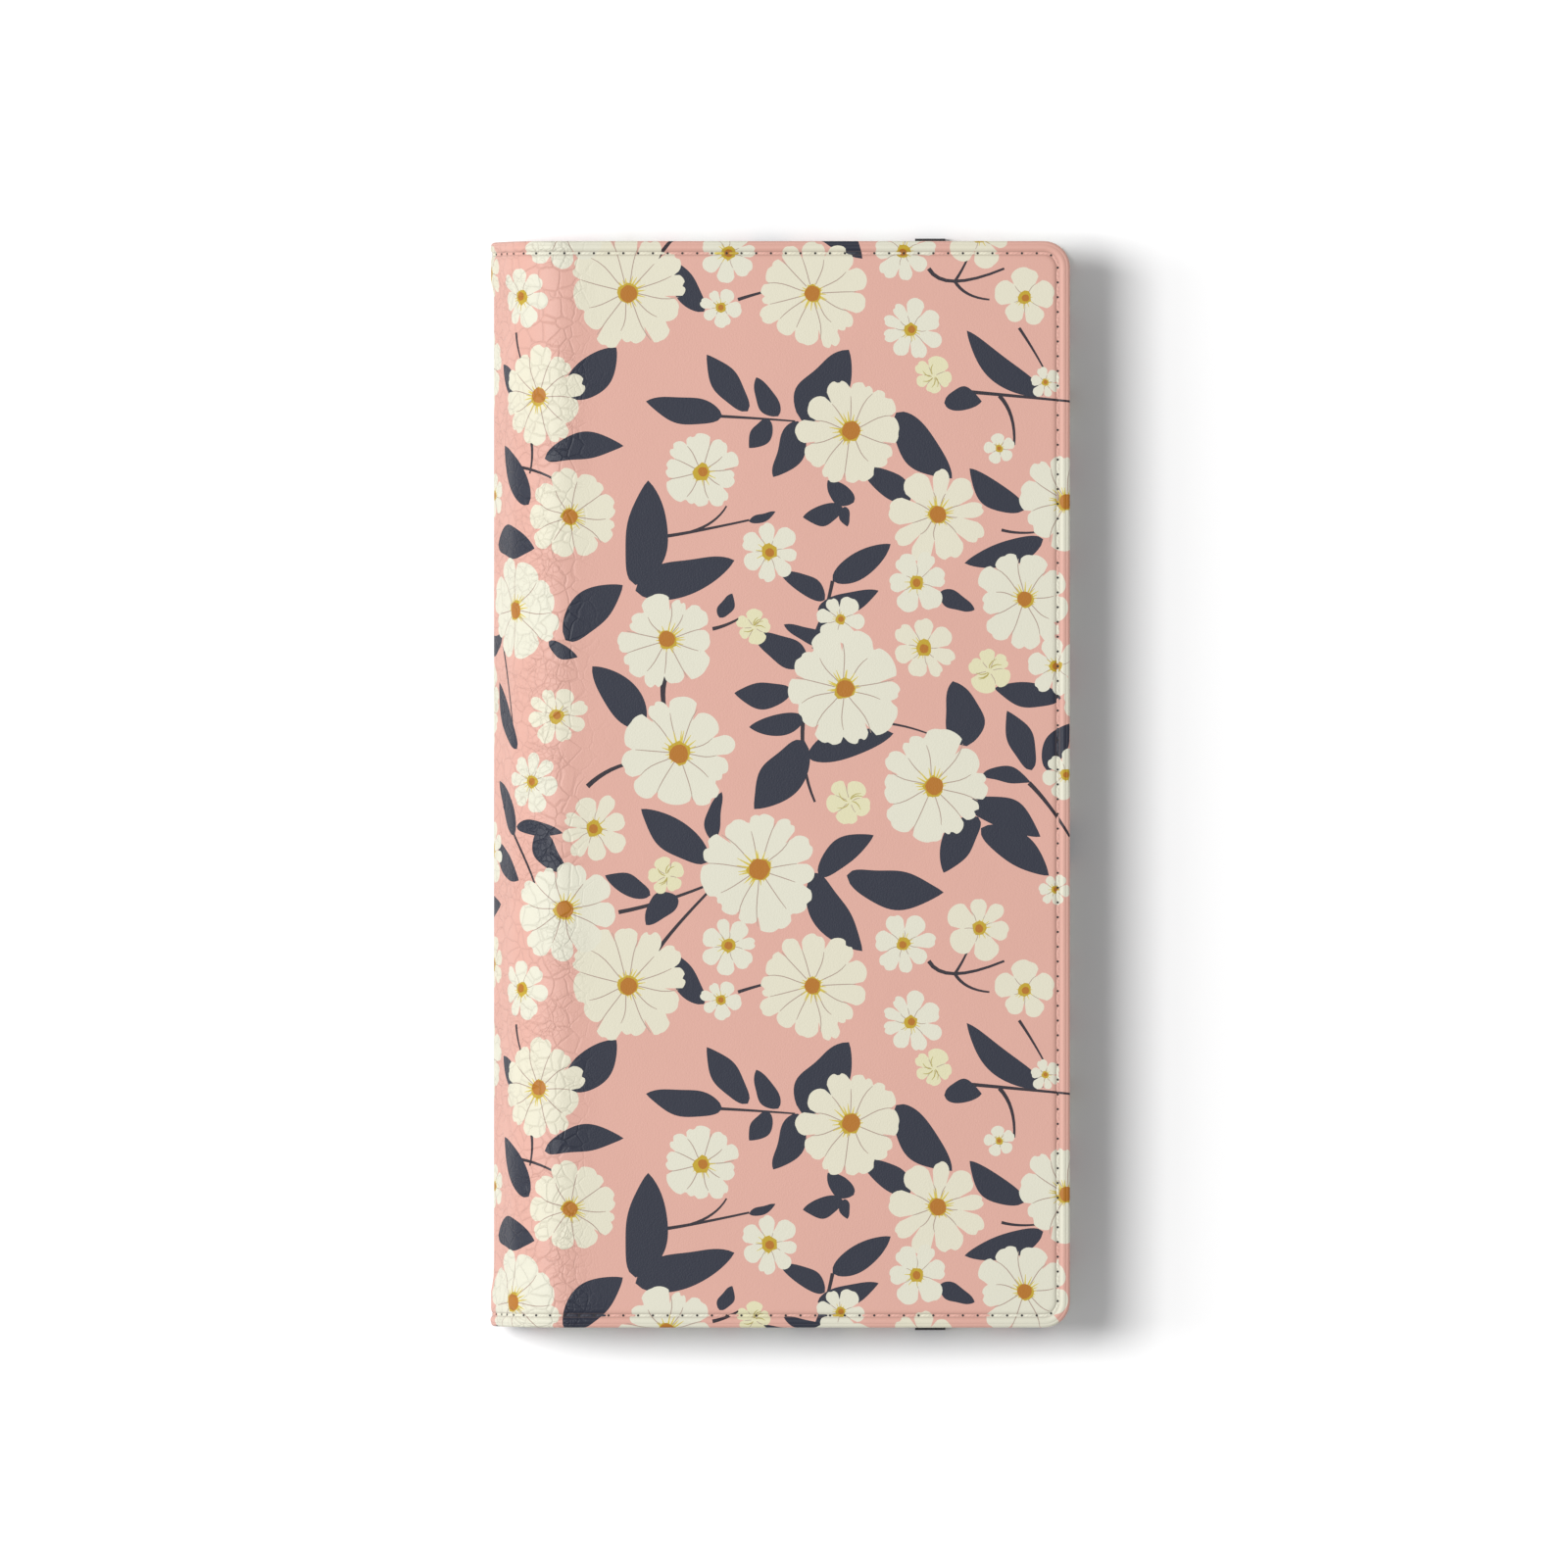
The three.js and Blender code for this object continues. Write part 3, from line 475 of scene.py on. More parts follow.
def cutSheet(name, side, sheet, shapes=(), window=False):
    # a flat cut of the sheet, with the print's outlines as edges, laid round the bend as a closed shell
    margin = sheet["margin"] - sheet["edge"]
    far = side["length"]
    domain = roundLoop(sheet["inset"] - margin, fold["cornerRadius"] + sheet["inset"], far)
    if "start" in sheet:
        near, top = side["flat"] + sheet["start"], endY - sheet["inset"] + margin
        domain = [(far, top), (near, top), (near, -top), (far, -top)]
    points, faces, edges, tags = [], [], [], []

    def addFace(loop, tag):
        area = sum(x0 * y1 - x1 * y0 for (x0, y0), (x1, y1) in zip(loop, loop[1:] + loop[:1]))
        loop = loop if area > 0 else loop[::-1]
        start = len(points)
        points.extend(loop)
        faces.append(list(range(start, start + len(loop))))
        tags.append(tag)

    def addLine(line):
        start = len(points)
        points.extend(line)
        edges.extend((start + i, start + i + 1) for i in range(len(line) - 1))

    addFace(domain, "domain")
    if window:
        addFace(windowLoop(), "hole")
    for outline, colour in shapes:
        addFace(outline, colour)
    for inset in sheet["loops"]:
        addLine(roundLoop(inset, fold["cornerRadius"] + sheet["inset"], far))
    top = endY + margin + 1
    for a in np.arange(side["flat"] - cutting["beforeBend"], far, sheet["strip"]):
        addLine([(a, -top), (a, top)])
    if sheet["rungs"]:
        for y in np.arange(-endY + cutting["rungInset"], endY - cutting["rungInset"] + 1, sheet["rungs"]):
            addLine([(side["flat"] - cutting["rungReach"], y), (far, y)])
    vectors = [Vector(p) for p in points]
    coords, _, tris, _, _, origins = delaunay_2d_cdt(vectors, edges, faces, 0, 1e-5, True)
    flat = np.array([tuple(c) for c in coords])
    keep, colours = [], []
    notPrinted = 1 if window else 0
    for tri, ids in zip(tris, origins):
        if 0 not in ids or (window and 1 in ids):
            continue
        keep.append(tri)
        colours.append(tags[max(ids)] if max(ids) > notPrinted else "ground")
    used = sorted({v for tri in keep for v in tri})
    number = {v: i for i, v in enumerate(used)}
    flat = flat[used]
    keep = np.array([[number[v] for v in tri] for tri in keep])
    a, y = flat[:, 0], flat[:, 1]
    outer = sheetPoint(side, sheet, a, y)
    normal = sheetNormal(side, sheet, a, y)
    inner = outer - normal * sheet["thick"]
    facing = side["sign"] * sheet["facing"]
    outerFaces = keep[:, ::-1] if facing > 0 else keep
    count = len(flat)
    innerFaces = outerFaces[:, ::-1] + count
    directed = {}
    for tri in outerFaces:
        for i in range(3):
            directed[(int(tri[i]), int(tri[(i + 1) % 3]))] = True
    rim = [(p, q) for p, q in directed if (q, p) not in directed]
    rimFaces = [(q, p, p + count, q + count) for p, q in rim]
    mesh = bpy.data.meshes.new(name)
    allFaces = [tuple(map(int, f)) for f in np.vstack([outerFaces, innerFaces])] + rimFaces
    mesh.from_pydata(np.vstack([outer, inner]) * mm, [], allFaces)
    mesh.shade_smooth()
    loopVerts = np.zeros(len(mesh.loops), dtype=int)
    mesh.loops.foreach_get("vertex_index", loopVerts)
    isInner = loopVerts >= count
    loopFlat = flat[loopVerts % count]
    span = flat.max(axis=0) - flat.min(axis=0)
    share = (loopFlat - flat.min(axis=0)) / span
    bakeUv = cutting["border"] + share * (cutting["outerWide"], cutting["outerHigh"])
    outerLoops = len(outerFaces) * 3
    hidden = np.arange(len(loopVerts)) >= outerLoops
    shift = share[hidden, 0] * cutting["hiddenWide"] + isInner[hidden] * cutting["innerShift"]
    bakeUv[hidden, 0] = cutting["hiddenStart"] + shift
    uv = mesh.uv_layers.new(name="OFBake")
    uv.data.foreach_set("uv", bakeUv.astype(np.float32).ravel())
    sheetUv = mesh.uv_layers.new(name="sheet")
    sheetUv.data.foreach_set("uv", (loopFlat * cutting["uvScale"]).astype(np.float32).ravel())
    crease = smooth((flat[:, 0] - side["flat"]) / relief["crackleReach"] + 1)
    inset = -offEdge(a, y, 0.0, fold["cornerRadius"], 0.0)[0]
    # painted shade: thin dark lines either side of the seam's groove and along the crease near the edge,
    # where shade falls
    fromSeam = np.abs(inset - fold["seamInset"]) - relief["shadeLineOffset"]
    shadeLines = np.exp(-(fromSeam / relief["shadeLineWidth"]) ** 2)
    shadeLines += relief["edgeShadeLine"] * np.exp(-((inset - relief["creaseInset"]) / relief["shadeLineWidth"]) ** 2)
    paintedShade = mesh.attributes.new("shadeLines", "FLOAT", "POINT")
    paintedShade.data.foreach_set("value", np.concatenate([shadeLines, shadeLines]).astype(np.float32))
    bend = mesh.attributes.new("crease", "FLOAT", "POINT")
    bend.data.foreach_set("value", np.concatenate([crease, crease]).astype(np.float32))
    if shapes:
        palette = {key: linear(value) + [1.0] for key, value in ink.items()}
        layer = mesh.attributes.new("ink", "FLOAT_COLOR", "CORNER")
        values = np.tile(np.array(palette["ground"]), (len(loopVerts), 1))
        values[:outerLoops] = np.repeat(np.array([palette[c] for c in colours]), 3, axis=0)
        layer.data.foreach_set("color", values.astype(np.float32).ravel())
    mesh.normals_split_custom_set_from_vertices(np.vstack([normal, -normal]))
    piece = bpy.data.objects.new(name, mesh)
    bpy.context.scene.collection.objects.link(piece)
    print(name, len(mesh.vertices), "points", len(mesh.polygons), "faces")
    return piece


# How a sheet lies, in mm: the depth of its good face under the outer face, the way that face looks (1 is
# outward), its thickness, the radius that its edge rolls by, how far in from the case's edge it lies, how
# deep it goes over the edge, the margin it is cut with, and the spacing and places of its lines of points
skinSheet = {
    "depth": 0.0, "facing": 1, "thick": 0.45, "edge": 0.5, "inset": 0.0, "deep": fold["hemThickness"],
    "margin": 4.2, "relief": 1.0, "strip": 0.8, "rungs": 2.0,
    "loops": [
        0.42, 0.5, 0.58, 0.24, -0.02, -0.285, -0.6, -0.935, -1.2, -1.46, -1.72, 0.7, 0.85, 1.0, 1.15, 1.32,
        1.43, 1.5, 1.6, 1.73, 1.86, 1.96, 2.03, 2.14, 2.3, 2.6, 3.1,
    ],
}
liningSheet = {
    "depth": fold["coverThickness"], "facing": -1, "thick": 0.36, "edge": 0.38, "inset": 0.4, "deep": 0.4,
    "margin": 0.59, "relief": -0.35, "strip": 0.8, "rungs": 4.0,
    "loops": [0.4, 0.6, 0.78, 1.15, 1.4, 1.6, 1.73, 1.86, 2.06, 2.3, 2.6, 3.1],
}
paddingSheet = {
    "depth": 0.68, "facing": 1, "thick": 0.9, "edge": 0.3, "inset": 3.3, "deep": 0.32, "margin": 0.45,
    "relief": 0.0, "strip": 0.8, "rungs": 0, "loops": [3.4, 3.6], "start": 0.6,
}
# The depth at which the layers keep their length as a bend unrolls; the bend's two ends are found at it, but
# nothing here bends the pieces
bendDepth = 0.8


def makeWraps():
    reach = skinSheet["margin"]
    box = (-reach, printWidth + reach, -endY - reach, endY + reach)
    shapes = printShapes(box)
    mirrored = [([(printWidth - x, y) for x, y in outline], c) for outline, c in shapes]
    onFront = [s for s in shapes if min(p[0] for p in s[0]) < frontSide["length"] + 1]
    onBack = [s for s in mirrored if min(p[0] for p in s[0]) < backSide["length"] + 1]
    front = cutSheet("front_wrap", frontSide, skinSheet, onFront)
    back = cutSheet("back_wrap", backSide, skinSheet, onBack, window=True)
    return front, back, onFront, onBack


def bendWith(piece, side):
    ends = [onProfile(side, a, bendDepth) for a in (side["flat"], side["flat"] + side["bend"])]
    start, end = [(x * mm, 0, z * mm) for x, z in ends]
    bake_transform(piece)


class Wire:
    def __init__(self, shader, socket):
        self.shader, self.socket = shader, socket

    def maths(self, operation, other, flipped=False):
        pair = (other, self) if flipped else (self, other)
        return self.shader.node("ShaderNodeMath", {"operation": operation}, {0: pair[0], 1: pair[1]})

    def __add__(self, other):
        return self.maths("ADD", other)

    __radd__ = __add__

    def __sub__(self, other):
        return self.maths("SUBTRACT", other)

    def __rsub__(self, other):
        return self.maths("SUBTRACT", other, True)

    def __mul__(self, other):
        return self.maths("MULTIPLY", other)

    __rmul__ = __mul__

    def sloped(self, start, end):
        settings = {"interpolation_type": "SMOOTHSTEP"}
        values = {"Value": self, "From Min": start, "From Max": end, "To Min": 0.0, "To Max": 1.0}
        return self.shader.node("ShaderNodeMapRange", settings, values)


class Shader:
    def __init__(self, name):
        self.material = bpy.data.materials.new(name)
        self.material.use_nodes = True
        self.tree = self.material.node_tree
        self.tree.nodes.clear()
        self.bsdf = self.tree.nodes.new("ShaderNodeBsdfPrincipled")
        output = self.tree.nodes.new("ShaderNodeOutputMaterial")
        self.tree.links.new(self.bsdf.outputs[0], output.inputs["Surface"])

    def put(self, socket, value):
        if isinstance(value, Wire):
            self.tree.links.new(value.socket, socket)
        else:
            socket.default_value = value

    def node(self, kind, settings=None, values=None, out=0):
        node = self.tree.nodes.new(kind)
        for key, value in (settings or {}).items():
            setattr(node, key, value)
        for key, value in (values or {}).items():
            self.put(node.inputs[key], value)
        return Wire(self, node.outputs[out])

    def noise(self, place, scale, detail=2.0, rough=0.5):
        values = {"Vector": place, "Scale": scale, "Detail": detail, "Roughness": rough}
        return self.node("ShaderNodeTexNoise", {}, values)

    def stretched(self, place, scale):
        return self.node("ShaderNodeVectorMath", {"operation": "MULTIPLY"}, {0: place, 1: scale})

    def warped(self, place, scale, amount):
        values = {"Vector": place, "Scale": scale, "Detail": 2.0}
        noise = self.node("ShaderNodeTexNoise", {}, values, "Color")
        half = self.node("ShaderNodeVectorMath", {"operation": "SUBTRACT"}, {0: noise, 1: (0.5, 0.5, 0.5)})
        return self.node("ShaderNodeVectorMath", {"operation": "MULTIPLY_ADD"},
                         {0: half, 1: (amount, amount, amount), 2: place})

    def cells(self, place, scale):
        # how far a point is from the nearest edge of its cell
        settings = {"feature": "DISTANCE_TO_EDGE"}
        return self.node("ShaderNodeTexVoronoi", settings, {"Vector": place, "Scale": scale})

    def mixed(self, factor, first, second, blend="MIX"):
        node = self.tree.nodes.new("ShaderNodeMix")
        node.data_type, node.blend_type = "RGBA", blend
        self.put(node.inputs["Factor"], factor)
        self.put(node.inputs[6], first)
        self.put(node.inputs[7], second)
        return Wire(self, node.outputs[2])

    def bump(self, height, strength, distance, below=None):
        values = {"Height": height, "Strength": strength, "Distance": distance}
        if below:
            values["Normal"] = below
        return self.node("ShaderNodeBump", {}, values)

    def finish(self, **inputs):
        for key, value in inputs.items():
            self.put(self.bsdf.inputs[key.replace("_", " ")], value)
        return self.material


def wear(material, *pieces):
    for piece in pieces:
        piece.data.materials.clear()
        piece.data.materials.append(material)


leather = {
    "grain": 26.0, "crackle": 4.4, "rough": 0.52, "gloss": 0.3, "cracks": 0.26, "lesserCracks": 0.16,
    # the last two entries are the colour and strength of the painted shade lines by the seam and the edge
    # crease
    "crackTint": (0.32, 0.22, 0.2, 1), "shadeLineTint": (0.17, 0.12, 0.11, 1), "paintedShade": 0.34,
}


def printedLeather():
    s = Shader("printed leather")
    place = s.node("ShaderNodeUVMap", {"uv_map": "sheet"})
    colour = s.node("ShaderNodeAttribute", {"attribute_name": "ink"})
    crease = s.node("ShaderNodeAttribute", {"attribute_name": "crease"}, out=2)
    shadeLines = s.node("ShaderNodeAttribute", {"attribute_name": "shadeLines"}, out=2)
    broad = s.noise(place, 0.7, 3.0)
    fine = s.noise(place, 60.0, 2.0)
    tone = broad * 0.05 + fine * 0.06 + 0.945
    greys = s.node("ShaderNodeCombineColor", {}, {0: tone, 1: tone, 2: tone})
    bent = s.warped(place, 2.6, 0.16)
    cracked = s.cells(bent, leather["crackle"])
    branched = s.cells(bent, leather["crackle"] * 2.3)
    patches = s.noise(place, 1.1, 1.0).sloped(0.46, 0.6)
    cracks = 1 - cracked.sloped(0.0, 0.024)
    lesser = (1 - branched.sloped(0.0, 0.04)) * patches
    lines = crease * (cracks * leather["cracks"] + lesser * leather["lesserCracks"])
    printed = s.mixed(1.0, colour, greys, "MULTIPLY")
    tint = s.mixed(lines, (1, 1, 1, 1), leather["crackTint"])
    shade = s.mixed(1.0, printed, tint, "MULTIPLY")
    # the print darkened along those lines: painted shade in the seam's groove and at the edge crease
    shade = s.mixed(shadeLines * leather["paintedShade"], shade, leather["shadeLineTint"])
    pores = s.cells(place, leather["grain"]).sloped(0.0, 0.25)
    swell = s.noise(place, 3.2, 3.0)
    first = s.bump(pores, 0.12, 0.00008)
    second = s.bump(fine + swell * 0.9, 0.2, 0.00012, first)
    ridges = cracked.sloped(0.0, 0.09) + branched.sloped(0.0, 0.12) * patches * 0.6
    third = s.bump(crease * (ridges + s.noise(place, 2.2, 2.0)), 0.5, 0.00014, second)
    rough = leather["rough"] + (fine - 0.5) * 0.16 + crease * -0.06
    return s.finish(Base_Color=shade, Roughness=rough, Normal=third,
                    Specular_IOR_Level=leather["gloss"])


def sewingThread(name, colour):
    s = Shader(name)
    place = s.node("ShaderNodeUVMap", {"uv_map": "sheet"})
    ply = s.node("ShaderNodeTexWave", {"wave_profile": "SIN", "bands_direction": "DIAGONAL"},
                 {"Vector": place, "Scale": 1.0, "Distortion": 0.6})
    fuzz = s.noise(place, 8.0, 3.0)
    base = s.node("ShaderNodeAttribute", {"attribute_name": "ink"}) if colour is None else colour
    tone = fuzz * 0.12 + ply * 0.14 + 0.84
    greys = s.node("ShaderNodeCombineColor", {}, {0: tone, 1: tone, 2: tone})
    normal = s.bump(ply + fuzz * 0.3, 0.5, 0.00005)
    shade = s.mixed(1.0, base, greys, "MULTIPLY")
    return s.finish(Base_Color=shade, Roughness=fuzz * 0.2 + 0.55, Normal=normal)


def liningLeather(name, colour, grain=1.0):
    s = Shader(name)
    place = s.node("ShaderNodeTexCoord", {}, out=3)
    broad = s.noise(place, 60, 3.0)
    fine = s.noise(place, 2500, 2.0)
    pebbles = s.cells(s.warped(place, 700, 0.0006), 1150 / grain)
    worn = s.noise(place, 16, 2.0).sloped(0.42, 0.7)
    paler = tuple(min(c * 1.3 + 0.01, 1) for c in colour[:3]) + (1,)
    deeper = tuple(c * 0.62 for c in colour[:3]) + (1,)
    shade = s.mixed(pebbles.sloped(0.0, 0.22), deeper, s.mixed(broad * 0.7 * worn, colour, paler))
    low = s.bump(broad, 0.3, 0.0002)
    normal = s.bump(pebbles.sloped(0.0, 0.3) + fine * 0.35, 0.45, 0.00009, low)
    return s.finish(Base_Color=shade, Roughness=0.56 + (fine - 0.5) * 0.2 - worn * 0.06, Normal=normal,
                    Specular_IOR_Level=0.4)


def mouldedPlastic():
    s = Shader("soft moulded plastic")
    place = s.node("ShaderNodeTexCoord", {}, out=3)
    sparks = s.noise(place, 3800, 2.0)
    flow = s.noise(place, 45, 3.0)
    colour = s.mixed(flow * 0.5, (0.036, 0.037, 0.041, 1), (0.055, 0.056, 0.06, 1))
    scuffs = s.noise(s.stretched(place, (1, 14, 1)), 160, 3.0).sloped(0.58, 0.72)
    normal = s.bump(sparks + flow * 0.4, 0.3, 0.00005)
    return s.finish(Base_Color=s.mixed(scuffs * 0.25, colour, (0.12, 0.12, 0.125, 1)),
                    Roughness=0.42 + sparks * 0.12 + scuffs * 0.12, Normal=normal, Specular_IOR_Level=0.5)


def wovenElastic():
    s = Shader("woven elastic")
    place = s.node("ShaderNodeTexCoord", {}, out=3)
    ribs = s.node("ShaderNodeTexWave", {"bands_direction": "X"},
                  {"Vector": place, "Scale": 460, "Distortion": 0.2})
    picks = s.node("ShaderNodeTexWave", {"bands_direction": "Y"},
                   {"Vector": place, "Scale": 800, "Distortion": 0.5})
    fuzz = s.noise(place, 4000, 2.0)
    weave = ribs * 0.6 + picks * 0.4
    colour = s.mixed(weave * 0.6 + fuzz * 0.3, (0.006, 0.006, 0.008, 1), (0.034, 0.034, 0.038, 1))
    normal = s.bump(weave + fuzz * 0.3, 0.7, 0.00012)
    return s.finish(Base_Color=colour, Roughness=0.82 + fuzz * 0.1, Normal=normal, Sheen_Weight=0.25)


def greyBoard(name, colour):
    s = Shader(name)
    place = s.node("ShaderNodeTexCoord", {}, out=3)
    fibres = s.noise(s.stretched(place, (1, 1, 5)), 900, 4.0)
    clumps = s.noise(place, 130, 3.0)
    shade = s.mixed(fibres * 0.6 + clumps * 0.3, tuple(c * 0.7 for c in colour[:3]) + (1,), colour)
    normal = s.bump(fibres + clumps, 0.5, 0.0001)
    return s.finish(Base_Color=shade, Roughness=0.85 + fibres * 0.1, Normal=normal)


# Lamps: power, degrees above the floor, heading in degrees, size across and along in metres
lamps = {
    "key": {"power": 16.2, "height": 63, "heading": 168, "size": (0.44, 0.6)},
    "side": {"power": 6.5, "height": 34, "heading": 176, "size": (0.4, 0.8)},
}
studio = {
    "fill": 0.45, "lampDistance": 1.5, "aim": (0, 0, 0.01), "floorTone": 0.95, "floorSize": 40,
    "cameraHeight": 4.0, "viewWidth": 221.914, "offCentre": (0.35, 0.05),
}


def makeStudio():
    scene = bpy.context.scene
    scene.view_settings.view_transform = "Standard"
    world = bpy.data.worlds.new("studio")
    scene.world = world
    world.use_nodes = True
    world.node_tree.nodes["Background"].inputs[0].default_value = (1, 1, 1, 1)
    world.node_tree.nodes["Background"].inputs[1].default_value = studio["fill"]
    for name, values in lamps.items():
        data = bpy.data.lights.new(name, "AREA")
        data.shape = "RECTANGLE"
        data.size, data.size_y = values["size"]
        data.energy = values["power"]
        lamp = bpy.data.objects.new(name, data)
        scene.collection.objects.link(lamp)
        h, t = math.radians(values["height"]), math.radians(values["heading"])
        way = Vector((math.cos(h) * math.cos(t), math.cos(h) * math.sin(t), math.sin(h)))
        lamp.location = Vector(studio["aim"]) + way * studio["lampDistance"]
        lamp.rotation_euler = way.to_track_quat("Z", "Y").to_euler()
    bpy.ops.mesh.primitive_plane_add(size=studio["floorSize"], location=(0, 0, 0))
    floor = bpy.context.active_object
    floor.name = "floor"
    s = Shader("pale floor")
    place = s.node("ShaderNodeTexCoord", {}, out=3)
    tone = s.noise(place, 3.0, 2.0) * 0.01 + (studio["floorTone"] - 0.005)
    greys = s.node("ShaderNodeCombineColor", {}, {0: tone, 1: tone, 2: tone})
    wear(s.finish(Base_Color=greys, Roughness=0.9, Specular_IOR_Level=0.1), floor)
    data = bpy.data.cameras.new("camera")
    data.sensor_width = 36
    data.lens = studio["cameraHeight"] / (studio["viewWidth"] * mm) * data.sensor_width
    data.clip_end = 20
    camera = bpy.data.objects.new("camera", data)
    scene.collection.objects.link(camera)
    offX, offY = studio["offCentre"]
    camera.location = (offX * mm, offY * mm, frontZ * mm + studio["cameraHeight"])
    scene.camera = camera


sewing = {
    "width": 0.42, "rise": 0.12, "gap": 0.4, "hole": 0.17, "lighter": 1.08, "sunk": 0.04,
    "holeTop": 0.045, "holeBase": 0.05, "rings": 7, "around": 6, "holeSides": 8,
    "pocketInset": 0.25, "pocketSunk": 0.02,
}


def stitchRows(name, rows, colourAt=None):
    # each row is its needle holes' places along a line, and what finds a point and its directions there
    verts, faces, colours, uvs = [], [], [], []
    rings, around, holeSides = sewing["rings"], sewing["around"], sewing["holeSides"]
    for hole, at in rows:
        for k in range(len(hole) - 1):
            tone = colourAt(hole[k], hole[k + 1]) if colourAt else (0.5, 0.5, 0.5, 1)
            start = len(verts)
            for i in range(rings):
                u = 2 * i / (rings - 1) - 1
                share = 0.5 + u * (0.5 - sewing["gap"] / 2 / fold["stitch"])
                here, outward, across = at(hole[k] + (hole[k + 1] - hole[k]) * share)
                full = math.sqrt(max(1 - abs(u) ** 5, 0.06))
                for j in range(around):
                    turn = math.pi * j / (around - 1)
                    sideways = sewing["width"] / 2 * full * math.cos(turn)
                    rise = sewing["rise"] * (full - abs(u) ** 6 * 0.5) * math.sin(turn)
                    verts.append(here + across * sideways + outward * (rise - sewing["sunk"]))
                    uvs.append(((u + 1) * 0.9 + k * 1.8, j * 0.16))
            for i in range(rings - 1):
                for j in range(around):
                    p, q = start + i * around + j, start + i * around + (j + 1) % around
                    faces.append((p, q, q + around, p + around))
                    colours.append(tone)
            faces.append(tuple(start + j for j in range(around))[::-1])
            faces.append(tuple(start + (rings - 1) * around + j for j in range(around)))
            colours += [tone, tone]
        # each needle hole is a near-black plug: painted shade standing in for the dark inside of the hole
        for place in hole:
            here, outward, across = at(place)
            along = np.cross(outward, across)
            start = len(verts)
            for j in range(holeSides):
                turn = 2 * math.pi * j / holeSides
                flat = across * math.cos(turn) + along * math.sin(turn)
                verts.append(here + flat * sewing["hole"] + outward * sewing["holeTop"])
                verts.append(here + flat * sewing["hole"] * 0.8 - outward * sewing["holeBase"])
                uvs += [(0, 0), (0, 0)]
            top = [start + 2 * j for j in range(holeSides)]
            base = [v + 1 for v in top]
            faces += [tuple(top), tuple(base[::-1])]
            for j in range(holeSides):
                after = (j + 1) % holeSides
                faces.append((base[j], base[after], top[after], top[j]))
            colours += [linear(ink["hole"]) + [1.0]] * (holeSides + 2)
    mesh = bpy.data.meshes.new(name)
    mesh.from_pydata(np.array(verts) * mm, [], faces)
    layer = mesh.attributes.new("ink", "FLOAT_COLOR", "CORNER")
    perCorner = np.repeat(np.array(colours), [len(f) for f in faces], axis=0)
    layer.data.foreach_set("color", perCorner.astype(np.float32).ravel())
    corner = [uvs[v] for f in faces for v in f]
    mesh.uv_layers.new(name="sheet").data.foreach_set("uv", np.array(corner, dtype=np.float32).ravel())
    mesh.shade_smooth()
    piece = bpy.data.objects.new(name, mesh)
    bpy.context.scene.collection.objects.link(piece)
    facesOut(piece)
    print(name, len(faces), "faces")
    return piece


def facesOut(piece):
    bpy.ops.object.select_all(action="DESELECT")
    piece.select_set(True)
    bpy.context.view_layer.objects.active = piece
    bpy.ops.object.mode_set(mode="EDIT")
    bpy.ops.mesh.select_all(action="SELECT")
    bpy.ops.mesh.normals_make_consistent(inside=False)
    bpy.ops.object.mode_set(mode="OBJECT")
    bpy.ops.object.shade_smooth_by_angle(angle=math.radians(50))


def seamRow(side, sheet):
    # the seam runs round the three free edges, with an even number of stitches
    path = np.array(roundLoop(fold["seamInset"], fold["cornerRadius"], side["length"], 16))
    steps = np.hypot(*np.diff(path, axis=0).T)
    reach = np.concatenate([[0], np.cumsum(steps)])
    count = 2 * round(reach[-1] / fold["stitch"] / 2)
    holes = np.linspace(0, reach[-1], count + 1)
    step = 0.02

    def flatAt(s):
        return np.interp(s, reach, path[:, 0]), np.interp(s, reach, path[:, 1])

    def at(s):
        s = min(max(s, step), reach[-1] - step)
        a, y = flatAt(s)
        ahead = sheetPoint(side, sheet, *(np.array(v) for v in flatAt(s + step)))
        behind = sheetPoint(side, sheet, *(np.array(v) for v in flatAt(s - step)))
        outward = sheetNormal(side, sheet, np.array(a), np.array(y))
        along = (ahead - behind) / np.linalg.norm(ahead - behind)
        across = np.cross(outward, along)
        return sheetPoint(side, sheet, np.array(a), np.array(y)), outward, across / np.linalg.norm(across)

    return holes, at, flatAt


def coverStitches(name, side, shapes):
    holes, at, flatAt = seamRow(side, skinSheet)

    def colourAt(s0, s1):
        a, y = flatAt((s0 + s1) / 2)
        tone = linear(ink[inkAt(shapes, float(a), float(y))])
        return [min(c * sewing["lighter"] + 0.01, 1) for c in tone] + [1.0]

    return stitchRows(name, [(holes, at)], colourAt)


def straightRow(start, end, outward):
    start, end, outward = (np.array(v, dtype=float) for v in (start, end, outward))
    length = np.linalg.norm(end - start)
    along = (end - start) / length
    holes = np.linspace(0, length, round(length / fold["stitch"]) + 1)
    return holes, lambda s: (start + along * s, outward, np.cross(outward, along))


def pocketRows(node, shape):
    x0, y0, z0 = low(node)
    x1, y1, z1 = high(node)
    inset = sewing["pocketInset"]
    left, right, bottom, top = x0 + inset, x1 - inset, y0 + inset, y1 - inset
    z = z1 - sewing["pocketSunk"]
    corners = {
        "upright": [((x0 + x1) / 2, y0), ((x0 + x1) / 2, y1)],
        "open to the spine": [(x0, top), (right, top), (right, bottom), (x0, bottom)],
        "open at the top": [(left, y1), (left, bottom), (right, bottom), (right, y1)],
    }[shape]
    return [straightRow((*p, z), (*q, z), (0, 0, -1)) for p, q in zip(corners, corners[1:])]


makeStudio()
print("studio ready")
frontWrap, backWrap, frontPrint, backPrint = makeWraps()
wear(printedLeather(), frontWrap, backWrap)
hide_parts("front_cover_skin")
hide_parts("back_cover_skin", "spine_skin")
bendWith(frontWrap, frontSide)
bendWith(backWrap, backSide)
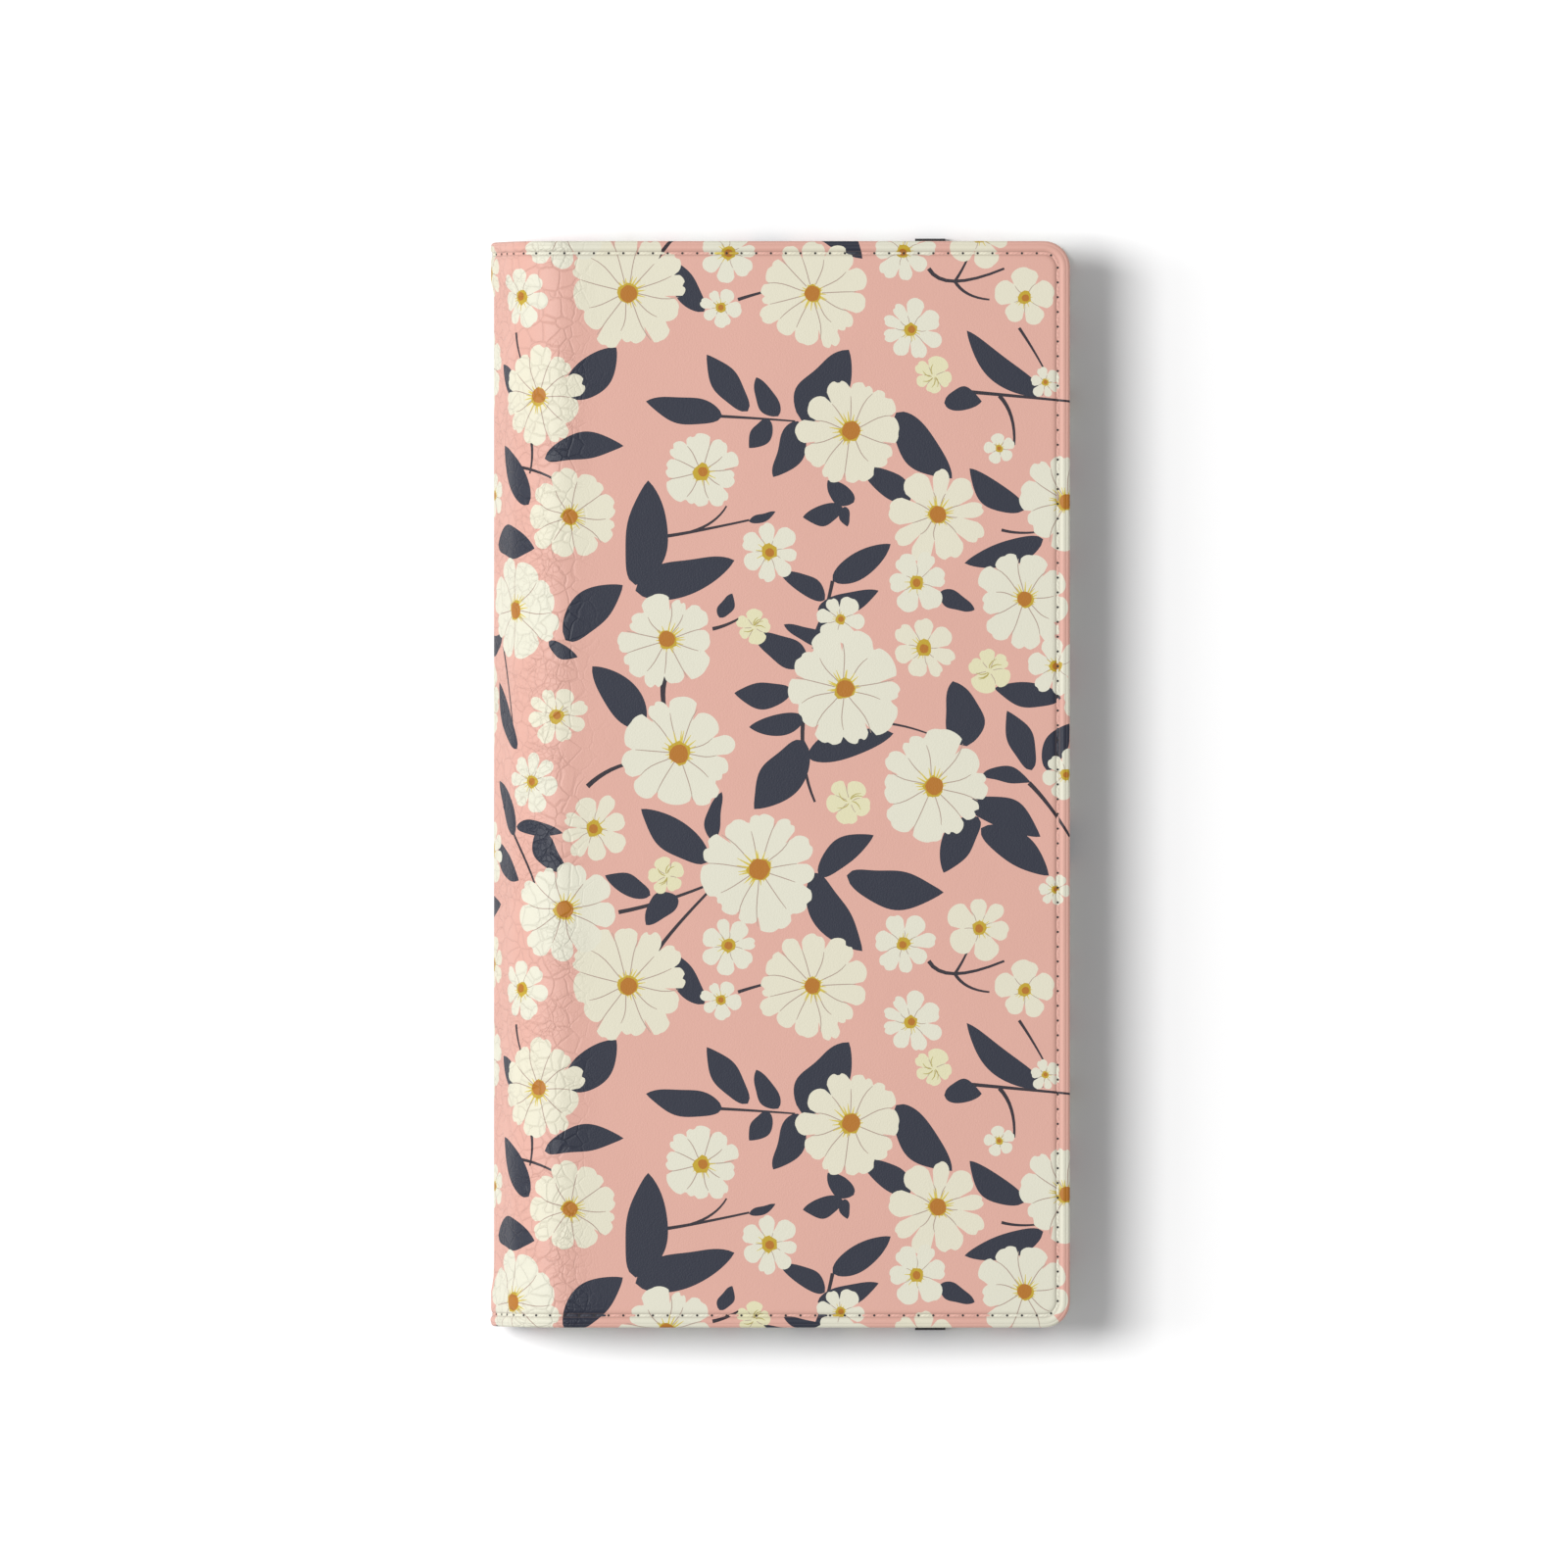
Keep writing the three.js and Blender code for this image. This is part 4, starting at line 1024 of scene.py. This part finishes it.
# each wrap is cut from flat printed leather with its hems; its flat size is worked out here and not used
# further
hem = skinSheet["margin"] - skinSheet["edge"]
for piece, side, board in ((frontWrap, frontSide, "front_board"), (backWrap, backSide, "back_board")):
    flatSize = ((side["length"] + hem) * mm, 2 * (endY + hem) * mm)
print("wraps ready")

frontStitches = coverStitches("front_seam", frontSide, frontPrint)
backStitches = coverStitches("back_seam", backSide, backPrint)
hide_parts("front_needle_thread", "spine_needle_thread_top", "spine_needle_thread_bottom")
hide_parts("back_needle_thread")
wear(sewingThread("printed thread", None), frontStitches, backStitches)
bendWith(frontStitches, frontSide)
bendWith(backStitches, backSide)

frontLining = cutSheet("front_lining_sheet", frontSide, liningSheet)
backLining = cutSheet("back_lining_sheet", backSide, liningSheet, window=True)
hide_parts("front_lining")
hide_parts("back_lining", "spine_lining")
liningFinish = liningLeather("grey lining leather", (0.16, 0.155, 0.16, 1))
wear(liningFinish, frontLining, backLining)
bendWith(frontLining, frontSide)
bendWith(backLining, backSide)
spare = liningSheet["inset"] - liningSheet["margin"] + liningSheet["edge"]
for piece, side, cover in ((frontLining, frontSide, "front_wrap"), (backLining, backSide, "back_wrap")):
    flatSize = ((side["length"] - spare) * mm, 2 * (endY - spare) * mm)
frontPadding = cutSheet("front_spine_padding", frontSide, paddingSheet)
backPadding = cutSheet("back_spine_padding", backSide, paddingSheet)
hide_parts("spine_padding")
wear(greyBoard("spine padding", (0.5, 0.49, 0.47, 1)), frontPadding, backPadding)
bendWith(frontPadding, frontSide)
bendWith(backPadding, backSide)
print("linings ready")

darkThread = sewingThread("grey thread", (0.3, 0.285, 0.29, 1))
frontInner = stitchRows("front_inner_seam", [seamRow(frontSide, liningSheet)[:2]])
backInner = stitchRows("back_inner_seam", [seamRow(backSide, liningSheet)[:2]])
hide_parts("front_bobbin_thread", "spine_bobbin_thread_top", "spine_bobbin_thread_bottom")
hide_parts("back_bobbin_thread")
bendWith(frontInner, frontSide)
bendWith(backInner, backSide)
pocketSeams = [
    ("cash_pocket_seam", ["cash_pocket_thread"], "open to the spine"),
    ("card_pocket_1_seam", ["card_pocket_1_thread_spine_side", "card_pocket_1_thread_fore_side"], "upright"),
    ("card_pocket_2_seam", ["card_pocket_2_thread_spine_side", "card_pocket_2_thread_fore_side"], "upright"),
    ("card_pocket_3_seam", ["card_pocket_3_thread"], "open at the top"),
]
wear(darkThread, frontInner, backInner)
for name, nodes, shape in pocketSeams:
    seam = stitchRows(name, [row for node in nodes for row in pocketRows(node, shape)])
    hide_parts(*nodes)
    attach(seam, "front")
    wear(darkThread, seam)
print("stitching ready")

nodeFinishes = {
    "front_board": greyBoard("front board", (0.36, 0.33, 0.29, 1)),
    "back_board": greyBoard("back board", (0.36, 0.33, 0.29, 1)),
    "tray_adhesive_sheet": greyBoard("adhesive sheet", (0.6, 0.58, 0.52, 1)),
    "phone_tray": mouldedPlastic(),
    "closing_band": wovenElastic(),
    "cash_pocket_panel": liningLeather("cash pocket leather", (0.125, 0.12, 0.126, 1), 1.1),
    "card_pocket_1_panel": liningLeather("first card pocket leather", (0.15, 0.145, 0.15, 1)),
    "card_pocket_2_panel": liningLeather("second card pocket leather", (0.125, 0.12, 0.127, 1), 0.95),
    "card_pocket_3_panel": liningLeather("third card pocket leather", (0.155, 0.15, 0.155, 1), 1.05),
}
for node, finish in nodeFinishes.items():
    wear(finish, bpy.data.objects[node])
print("materials ready")
